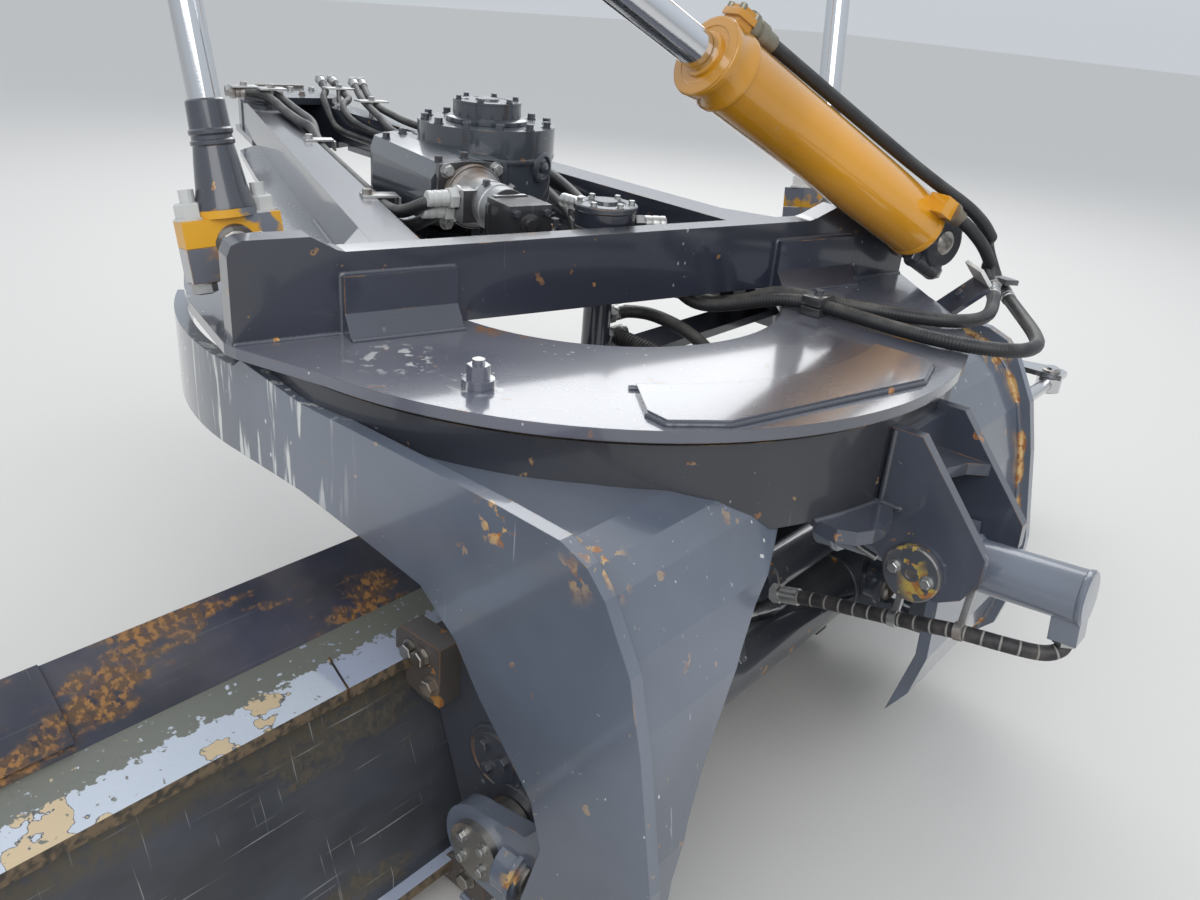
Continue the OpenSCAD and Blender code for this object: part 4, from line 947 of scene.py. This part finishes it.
finish_piece("carrier_discs", bm, carrier_paint, "blade_carrier")
bolts("carrier_bolts", rows, 0.012, 0.008, black_bolt, "blade_carrier")
bolts("shoe_bolts", shoe_rows, 0.016, 0.013, worn_steel, "blade_carrier")
welds("carrier_welds", seams, 0.006, weld_paint, "blade_carrier")
bm = bmesh.new()
turn(bm, near_side_rod(-1190), -left, [
    (0.0535, 0.002), (0.0565, 0.004), (0.0565, 0.016), (0.0535, 0.018), (0.0535, 0.054), (0.0500, 0.0605),
    (0.0300, 0.0610), (0.0290, 0.058)], 40)
turn(bm, near_side_rod(-94), left,
     [(0.0452, -0.060), (0.0480, -0.058), (0.0480, -0.030), (0.0452, -0.028)], 40)
for y in (-1160, -130):
    turn(bm, near_side_rod(y, 43), up,
         [(0.018, -0.004), (0.018, 0.010), (0.014, 0.012), (0.014, 0.026), (0, 0.027)], 6)
finish_piece("side_cylinder_rings", bm, carrier_paint, "blade_carrier")


# Moldboard: rolled plate with a folded back box, worn and rusty. Navy scale and orange
# rust cover the curved back; the box's rear is bare, scratched by stone and soil.
def rusted(name, base, brown, orange, spread=0.5, dust=0.3, streaks=0.4, rough=0.5, mud=False):
    """Bare steel with scale in a base tone, patches of two rusts, scratches, dust and mud."""
    f = Finish(name)
    # Y is lengthwise along the blade here, as the circle stands turned.
    f.where = f.add("Mapping", {"Vector": f.where, "Rotation": (0, 0, -circle_turn)}).outputs[0]
    grain = f.noise(60, 6)
    patches = f.calc("ADD", f.calc("MULTIPLY", f.noise(4.2, 5, (1.6, 0.45, 1.6)), 0.75),
                     f.calc("MULTIPLY", f.noise(24, 4, (1, 0.5, 1)), 0.25))
    patches = f.band(patches, 0.585 - spread * 0.16, 0.640 - spread * 0.16)
    fine_rust = f.calc("MULTIPLY", patches, f.band(f.noise(85, 5), 0.47, 0.60))
    shade = f.blend(f.band(f.noise(10, 4, (1, 0.4, 1)), 0.3, 0.7), tuple(c * 0.7 for c in base) + (1,),
                    tuple(min(1, c * 1.4) for c in base) + (1,))
    shade = f.blend(f.calc("MULTIPLY", patches, f.band(grain, 0.30, 0.52)), shade, brown + (1,))
    shade = f.blend(fine_rust, shade, orange + (1,))
    if mud:
        height = f.calc("ADD", f.add("SeparateXYZ", {0: f.where}).outputs[2], 0.72)
        height = f.calc("ADD", height, f.calc("MULTIPLY", f.noise(7, 4, (1, 0.5, 1)), 0.08))
        caked = f.calc("MULTIPLY", f.band(height, 0.090, 0.125), f.band(grain, 0.25, 0.55))
        shade = f.blend(caked, shade, (0.066, 0.055, 0.038, 1))
        sandy = f.blend(f.band(f.noise(110, 3), 0.50, 0.58), (0.33, 0.35, 0.35, 1), (0.045, 0.045, 0.040, 1))
        shade = f.blend(f.band(f.upward(), 0.7, 0.9), shade, sandy)
    lines = f.calc("MAXIMUM", f.band(f.noise(1, 3, (9, 3.0, 150), (0.42, 0, 0)), 0.66, 0.72),
                   f.band(f.noise(1, 3, (9, 150, 5), (0.25, 0, 0)), 0.68, 0.74))
    shade = f.blend(f.calc("MULTIPLY", lines, streaks), shade, (0.24, 0.245, 0.24, 1))
    film = f.calc("MULTIPLY", f.calc("ADD", f.band(f.upward(), 0.2, 1.0), 0.15),
                  f.calc("MULTIPLY", f.band(f.noise(6, 5), 0.35, 0.75), dust))
    shade = f.blend(film, shade, (0.21, 0.185, 0.15, 1))
    bumps = f.bump(0.30, 0.002, f.calc("ADD", f.calc("MULTIPLY", grain, 0.5), fine_rust), f.rounded(0.002))
    gloss = f.calc("SUBTRACT", f.calc("ADD", rough, f.calc("MULTIPLY", patches, 0.3)),
                   f.calc("MULTIPLY", lines, 0.15))
    return f.surface(shade, gloss, {"Normal": bumps})


navy_rust = rusted("navy_rust", (0.030, 0.032, 0.052), (0.110, 0.060, 0.032), (0.30, 0.145, 0.045), 0.55, 0.25, 0.15)
coat_nodes(navy_rust, "moldboard_plate", "blade_ends")
coat_nodes(rusted("scraped_box", (0.036, 0.039, 0.048), (0.058, 0.052, 0.042), (0.075, 0.062, 0.045),
                  0.25, 0.35, 0.85, mud=True), "back_box")
coat_nodes(rusted("edge_steel", (0.16, 0.155, 0.15), (0.20, 0.11, 0.06), (0.34, 0.17, 0.06),
                  0.45, 0.4, 0.6, 0.42), "cutting_edge")


# Slide rails: bright bars that ran in the shoes. Pale filler paint peels off the upper one
# left of its joint, showing tan primer with a dark lifted rim round each patch.
def peeled(name):
    """Pale filler paint that peels to tan primer beyond the rail's joint, with soil on top."""
    f = Finish(name)
    fine = f.noise(70, 8)
    beyond = f.band(f.along(on_circle(-140, 783, -530), left), 0.0, 0.02)
    blot = f.calc("ADD", f.calc("MULTIPLY", f.noise(7.5, 3), 0.9), f.calc("MULTIPLY", fine, 0.1))
    bare = f.band(blot, 0.560, 0.566)
    inside = f.calc("MULTIPLY", bare, beyond)
    rim = f.calc("MULTIPLY", f.calc("SUBTRACT", f.band(blot, 0.554, 0.560), bare), beyond)
    flat = f.band(f.upward(), 0.6, 0.9)
    shade = f.blend(f.noise(4, 6), (0.44, 0.49, 0.56, 1), (0.58, 0.62, 0.68, 1))
    shade = f.blend(f.calc("SUBTRACT", 1.0, beyond), shade, (0.36, 0.40, 0.50, 1))
    shade = f.blend(inside, shade, (0.58, 0.45, 0.28, 1))
    shade = f.blend(rim, shade, (0.06, 0.055, 0.05, 1))
    inward = f.band(f.along(on_circle(-72, 0, -530), fore), -0.034, 0.004)
    soil = f.band(f.calc("ADD", fine, f.calc("MULTIPLY", inward, 0.34)), 0.66, 0.72)
    shade = f.blend(soil, shade, (0.16, 0.165, 0.14, 1))
    side = f.blend(f.band(fine, 0.35, 0.6), (0.045, 0.038, 0.028, 1), (0.15, 0.105, 0.062, 1))
    bumps = f.bump(0.5, 0.0015, f.calc("SUBTRACT", fine, inside), f.rounded(0.002))
    return f.surface(f.blend(flat, side, shade), f.mix(flat, 0.7, 0.42), {"Normal": bumps})


coat_nodes(peeled("peeling_rail"), "slide_rails")
bm = bmesh.new()
slab(bm, [on_circle(x, y, -529.8) for x, y in ((-165.6, 781), (-165.6, 785), (-74, 757), (-74, 753))], up * 0.0012)
slab(bm, [on_circle(-166, y, z) for y, z in ((781, -530), (785, -530), (785, -554), (781, -554))], fore * -0.001)
joint_shadow = painted("joint_shadow", (0.012, 0.011, 0.010), chips=0.2, dust=0.2, scratch=0.0, coat=0.0, rough=0.8)
finish_piece("rail_joint", bm, joint_shadow, "moldboard")


roll_x, roll_z, roll_back, roll_front = 324, -774, 413, 394
bolt_count, bolt_gap = 26, 152


def on_blade(radius, y, angle):
    """A place on the moldboard's roll, from its radius and its angle in degrees."""
    x, z = polar(radius, radians(angle))
    return on_circle(roll_x + x, y, roll_z + z)


rows, nuts = [], []
for y in [bolt_gap * (k - (bolt_count - 1) / 2) for k in range(bolt_count)]:
    for angle in (203, 212):
        x, z = polar(1, radians(angle))
        inner = circle_way(-x, 0, -z)
        rows.append((on_blade(375, y, angle), inner))
        nuts.append((on_blade(roll_back + 0.5, y, angle), -inner))
bolts("edge_plow_bolts", rows, 0.015, 0.005, worn_steel, "moldboard", washer=1.05)
bolts("edge_nuts", nuts, 0.017, 0.014, navy_rust, "moldboard", stud=0.02)
bm = bmesh.new()
for s in (1, -1):
    outline = [on_blade(roll_back, s * 1980, 124 + 5 * k) for k in range(19)]
    outline += [on_blade(roll_front, s * 1980, 214 - 5 * k) for k in range(19)]
    slab(bm, outline, left * (-s * 0.002))
finish_piece("blade_end_faces", bm, navy_rust, "moldboard")


# Side shift rod and lug: a chromed rod held in an eye on the blade's end bracket.
coat_nodes(steel_finish("side_rod_chrome", (0.62, 0.62, 0.63), 0.14, 0.1), "side_shift_rod")
bm = bmesh.new()
spot = near_side_rod(-2020)
turn(bm, spot, up, [(0.030, 0.0445), (0.030, 0.050), (0.026, 0.052), (0.0205, 0.052)], 28)
turn(bm, spot, -up, [(0.0425, 0.0255), (0.030, 0.026), (0.030, 0.031), (0, 0.031)], 28)
finish_piece("lug_washers", bm, worn_steel, "moldboard")


# Tilt cylinder: a grey barrel hung in trunnions, with a welded collar, a port foot under
# its end and a spring-guarded hose along its belly.
barrel_grey = painted("tilt_barrel_paint", (0.135, 0.155, 0.195), chips=0.06, dust=0.22, scratch=0.25, flecks=0.2)
coat_nodes(barrel_grey, "tilt_barrel")
coat_nodes(steel_finish("tilt_rod_chrome", (0.64, 0.65, 0.67), 0.10, 0.05), "tilt_rod")
hinge, lug = near_hinge(0, 0, 0), on_circle(-250, 0, -340)
rodward = (lug - hinge).normalized()
bm = bmesh.new()
turn(bm, hinge, -rodward, [(0.0465, 0.052), (0.0525, 0.056), (0.0525, 0.066), (0.0480, 0.072), (0.0465, 0.074)], 48)
turn(bm, hinge, -rodward, [(0.0465, 0.246), (0.0478, 0.248), (0.0478, 0.2545), (0.0440, 0.2575),
                           (0.0200, 0.2580), (0, 0.2580)], 48)
turn(bm, hinge, rodward, [(0.0515, 0.178), (0.0550, 0.181), (0.0550, 0.186), (0.0515, 0.189)], 40)
turn(bm, hinge, rodward, [(0.0515, 0.218), (0.0460, 0.2205), (0.0300, 0.2210), (0.0290, 0.226),
                          (0.0225, 0.227)], 40)
finish_piece("tilt_barrel_rings", bm, barrel_grey, "tilt_barrel")
aside = rodward.orthogonal().normalized()
rows = [(hinge + rodward * 0.2205 + (aside * cos(a) + rodward.cross(aside) * sin(a)) * 0.040, rodward)
        for a in arc(0, 45, 8)]
bolts("tilt_gland_bolts", rows, 0.006, 0.006, black_bolt, "tilt_barrel")


def spring_guard(name, pitch):
    """A dark hose inside a wire spring, with one coil to each pitch."""
    f = Finish(name)
    along = f.add("Attribute", attribute_name="along").outputs["Fac"]
    coils = f.calc("FRACT", f.calc("MULTIPLY", along, 1 / pitch, clamp=False), clamp=False)
    gap = f.ramp(coils, 0.10, 0.14)
    shade = f.blend(gap, (0.26, 0.25, 0.23, 1), (0.020, 0.019, 0.021, 1))
    shade = f.blend(f.ramp(f.noise(40, 6), 0.45, 0.75, 0.0, 0.5), shade, (0.11, 0.095, 0.08, 1))
    return f.surface(shade, 0.55, {"Normal": f.bump(0.8, 0.002, gap)})


def fine_steps(path, step):
    """A path with places about a step apart."""
    places = []
    for a, b in zip(path, path[1:]):
        count = max(1, int((b - a).length / step))
        places += [a + (b - a) * k / count for k in range(count)]
    return places + [path[-1]]


tilt_route = [[-1057, 0, -347.5], [-1059, 3, -366], [-1040, 22, -378], [-985, 48, -376],
              [-905, 60, -382], [-828, 62, -402], [-745, 62, -422], [-646, 62, -444], [-575, 64, -464]]
bm = bmesh.new()
sweep(bm, fine_steps(soft_bends([on_circle(*p) for p in tilt_route], 0.05), 0.006), 0.0135)
finish_piece("tilt_guarded_hose", bm, spring_guard("spring_guard", 0.029), "tilt_barrel",
             ("tilt_hose",))
bm = bmesh.new()
turn(bm, on_circle(-1057, 0, -345), circle_way(-0.09, 0, -1), [(0.021, 0), (0.021, 0.010), (0.017, 0.012)], 6)
before, tip = [on_circle(*p) for p in tilt_route[-2:]]
turn(bm, tip, tip - before, [(0.0165, -0.030), (0.0165, 0.004), (0.013, 0.006), (0.013, 0.012)], 20)
turn(bm, tip + (tip - before).normalized() * 0.010, tip - before,
     [(0.019, 0), (0.019, 0.016), (0.011, 0.018), (0, 0.018)], 6)
clamp_way = circle_way(1, 0, -0.2)
for x, y, z, side_z in ((-905, 60, -382, -300), (-790, 62, -411, -311)):
    turn(bm, on_circle(x, y, z) - clamp_way * 0.008, clamp_way,
         [(0.0145, 0), (0.0165, 0.001), (0.0165, 0.015), (0.0145, 0.016)], 20)
    slab(bm, [on_circle(x - 6, w, h) for w, h in ((y - 5, z), (y + 5, z), (49, side_z), (34, side_z - 4))],
         fore * 0.012, 0.001)
finish_piece("tilt_hose_fittings", bm, zinc, "tilt_barrel")


# Lift cylinders: yellow barrels held in trunnions, chromed rods with grey sleeves, and
# split ball caps closed by two big nuts. Overspray covers the caps in grey and yellow.
def placer(origin, tilted):
    """A function that gives a place in a tilted frame, in millimetres."""
    return lambda x, y, z: origin + tilted @ Vector((x / 1000, y / 1000, z / 1000))


yellow = painted("yellow_cylinder_paint", (0.66, 0.29, 0.006), chips=0.04, dust=0.04, scratch=0.10,
                 chip_tone=(0.12, 0.09, 0.07, 1), fade=1.12, rough=0.28)
bolt_y, rod_eye_y = 61, 715
for s, hand in ((1, "left"), (-1, "right")):
    rod, barrel = "lift_rod_" + hand, "lift_barrel_" + hand
    tilted = Matrix.Rotation(radians(9.8), 3, "Y") @ Matrix.Rotation(radians(-4.4 * s), 3, "X")
    lift = placer(at_centre(115, s * rod_eye_y, 109), tilted)
    ball, axis, outward = lift(0, 0, 0), tilted @ up, tilted @ Vector((0, s, 0))
    coat_nodes(steel_finish("lift_chrome_" + hand, (0.66, 0.67, 0.69), 0.10, 0.0,
                            (lift(0, 0, 60.5), axis, ((0.16, 0.17, 0.20, 1), (0.68, 0.34, 0.02, 1)))), rod)
    coat_nodes(painted("ball_cap_paint_" + hand, (0.15, 0.16, 0.19), chips=0.9, dust=0.3, scratch=0.2,
                       chip_tone=(0.62, 0.30, 0.02, 1), spots=[(lift(-34, -20, -20), 0.08, 0.16)]),
               "lift_cap_" + hand)
    coat_nodes(yellow, barrel)
    bm = bmesh.new()
    turn(bm, ball, axis, [
        (0.0525, 0.060), (0.0505, 0.070), (0.0440, 0.096), (0.0385, 0.140), (0.0345, 0.166), (0.0375, 0.168),
        (0.0375, 0.174), (0.0345, 0.177), (0.0345, 0.183), (0.0375, 0.186), (0.0375, 0.192), (0.0345, 0.195),
        (0.0330, 0.240), (0.0300, 0.243), (0.0278, 0.243)], 40)
    sleeve_paint = painted("lift_sleeve_paint_" + hand, (0.036, 0.040, 0.056), chips=0.25, dust=0.2, scratch=0.2,
                           chip_tone=(0.5, 0.26, 0.05, 1))
    finish_piece("lift_sleeve_" + hand, bm, sleeve_paint, rod)
    bolts("lift_cap_nuts_" + hand, [(lift(0, y, 46.5), axis) for y in (-bolt_y, bolt_y)], 0.025, 0.022, white, rod,
          washer=1.12, stud=0.050)
    bolts("lift_cap_heads_" + hand, [(lift(0, y, -60), -axis) for y in (-bolt_y, bolt_y)], 0.022, 0.016, zinc, rod)
    bm = bmesh.new()
    turn(bm, ball, axis, [(0.0300, 0.614), (0.0560, 0.6155), (0.0640, 0.6185), (0.0685, 0.6200), (0.0685, 0.626),
                          (0.0660, 0.628), (0.0660, 0.640), (0.0685, 0.642)], 48)
    turn(bm, ball, axis, [(0.0605, 0.866), (0.0700, 0.870), (0.0700, 0.930), (0.0605, 0.934)], 48)
    turn(bm, ball, axis, [(0.0605, 1.980), (0.0620, 1.982), (0.0620, 1.9985), (0.0560, 2.0035),
                          (0.0100, 2.0045), (0, 2.0045)], 48)
    for z in (652, 1955):
        turn(bm, lift(0, s * 58, z), outward, [(0.021, 0), (0.021, 0.020), (0.018, 0.022)], 24)
    pipe_route = ((78, 652), (94, 652), (96, 680), (96, 1900), (96, 1955), (84, 1972))
    sweep(bm, soft_bends([lift(0, s * y, z) for y, z in pipe_route], 0.03), 0.010)
    finish_piece("lift_barrel_rings_" + hand, bm, yellow, barrel)
    rows = [(lift(*polar(58, a), 620), -axis) for a in arc(22.5, 45, 8)]
    bolts("lift_gland_bolts_" + hand, rows, 0.0065, 0.007, black_bolt, barrel)
    bm = bmesh.new()
    for z in (800, 1100, 1400, 1700):
        slab(bm, [lift(x, s * y, z) for x, y in ((-14, 60), (14, 60), (14, 108), (-14, 108))], axis * 0.016, 0.002)
    fitting(bm, lift(0, s * 78, 652), outward, 0.010, 0.015)
    finish_piece("lift_pipe_clamps_" + hand, bm, black, barrel)


# Centre shift cylinder: a yellow barrel ending in a black cast ball socket, with a flanged
# port beside its gland and two hoses that rise from the deck.
coat_nodes(painted("shift_barrel_paint", (0.66, 0.29, 0.006), chips=0.05, dust=0.04, scratch=0.10,
                   chip_tone=(0.12, 0.09, 0.07, 1), fade=1.12, rough=0.26), "shift_barrel")
coat_nodes(steel_finish("shift_rod_chrome", (0.66, 0.67, 0.69), 0.10, 0.0), "shift_rod")
coat_nodes(painted("socket_paint", (0.020, 0.022, 0.030), chips=0.15, dust=0.25, scratch=0.15, round_edge=0.006,
                   chip_tone=(0.50, 0.25, 0.02, 1), coat=0.5, rough=0.4), "shift_cap")
tilted = Matrix.Rotation(radians(27.2) - pi / 2, 3, "X")
shift = placer(at_centre(-204, -784, 100), tilted)
ball, axis, portward = shift(0, 0, 0), tilted @ up, tilted @ Vector((0, -1, 0))
bm = bmesh.new()
turn(bm, ball, axis, [
    (0.0725, 0.758), (0.0765, 0.761), (0.0765, 0.770), (0.0752, 0.772), (0.0752, 0.806), (0.0762, 0.808),
    (0.0762, 0.820), (0.0730, 0.8245), (0.0560, 0.8255), (0.0540, 0.8215), (0.0430, 0.8210), (0.0420, 0.8300),
    (0.0360, 0.8310)], 56)
turn(bm, ball, axis, [(0.0600, 0.0835), (0.0700, 0.0845), (0.0735, 0.0880), (0.0735, 0.1010), (0.0722, 0.1030)], 56)
slab(bm, [shift(x, -84, z) for x, z in ((-25, 764), (25, 764), (25, 816), (-25, 816))], portward * 0.014, 0.003)
finish_piece("shift_barrel_rings", bm, yellow, "shift_barrel")
bm = bmesh.new()
for x in (-17, 17):
    for z in (771, 809):
        turn(bm, shift(x, -98, z), portward, [(0.0065, 0), (0.0065, 0.009), (0.005, 0.0105)], 14)
turn(bm, shift(0, -90, 770), -axis, [
    (0.026, -0.002), (0.026, 0.010), (0.020, 0.012), (0.019, 0.022), (0.023, 0.024), (0.023, 0.042),
    (0.019, 0.044), (0.0185, 0.070), (0.0175, 0.072)], 24)
turn(bm, shift(-88, -42, 112), -axis,
     [(0.024, -0.001), (0.024, 0.010), (0.019, 0.012), (0.0185, 0.040), (0.0170, 0.042)], 24)
finish_piece("shift_port_fittings", bm, steel_finish("dull_port_steel", (0.30, 0.28, 0.22), 0.45, 0.5),
             "shift_barrel")
bolts("socket_nuts", [(shift(0, y, 38), axis) for y in (-58, 58)], 0.020, 0.018, black_bolt,
      "shift_barrel", stud=0.02)
bolts("socket_heads", [(shift(0, y, -42), -axis) for y in (-58, 58)], 0.019, 0.014, zinc, "shift_barrel")
shift_routes = [
    [[-105, -50, -40], [-98, -66, 0], [-84, -76, 60], [-50, -82, 130], [-14, -90, 234], [0, -90, 769.5]],
    [[-122, 0, -60], [-124, -20, 0], [-104, -36, 46], [-88, -42, 88], [-88, -42, 111.5]]]
bm = bmesh.new()
run_hoses(bm, shift, shift_routes)
finish_piece("shift_hose_run", bm, hose_rubber, "shift_barrel", ("shift_hoses",))
bm = bmesh.new()
for low, tie, leave in ((at_centre(-340, -880, 14), shift(-105, -50, -40), Vector((0.060, -0.030, 0.030))),
                        (at_centre(-345, -836, 30), shift(-122, 0, -60), Vector((0.020, -0.004, 0.012)))):
    path = [low + (low - tie) * 0.02, low + leave * 0.5, (low + tie) / 2 + leave, tie + (tie - low) * 0.02]
    sweep(bm, fine_steps(soft_bends(path, 0.06), 0.005), 0.0137)
finish_piece("shift_hose_loops", bm, hose_rubber,
             ("drawbar", "shift_barrel", at_centre(-342, -858, 22), shift(-112, -25, -48)))
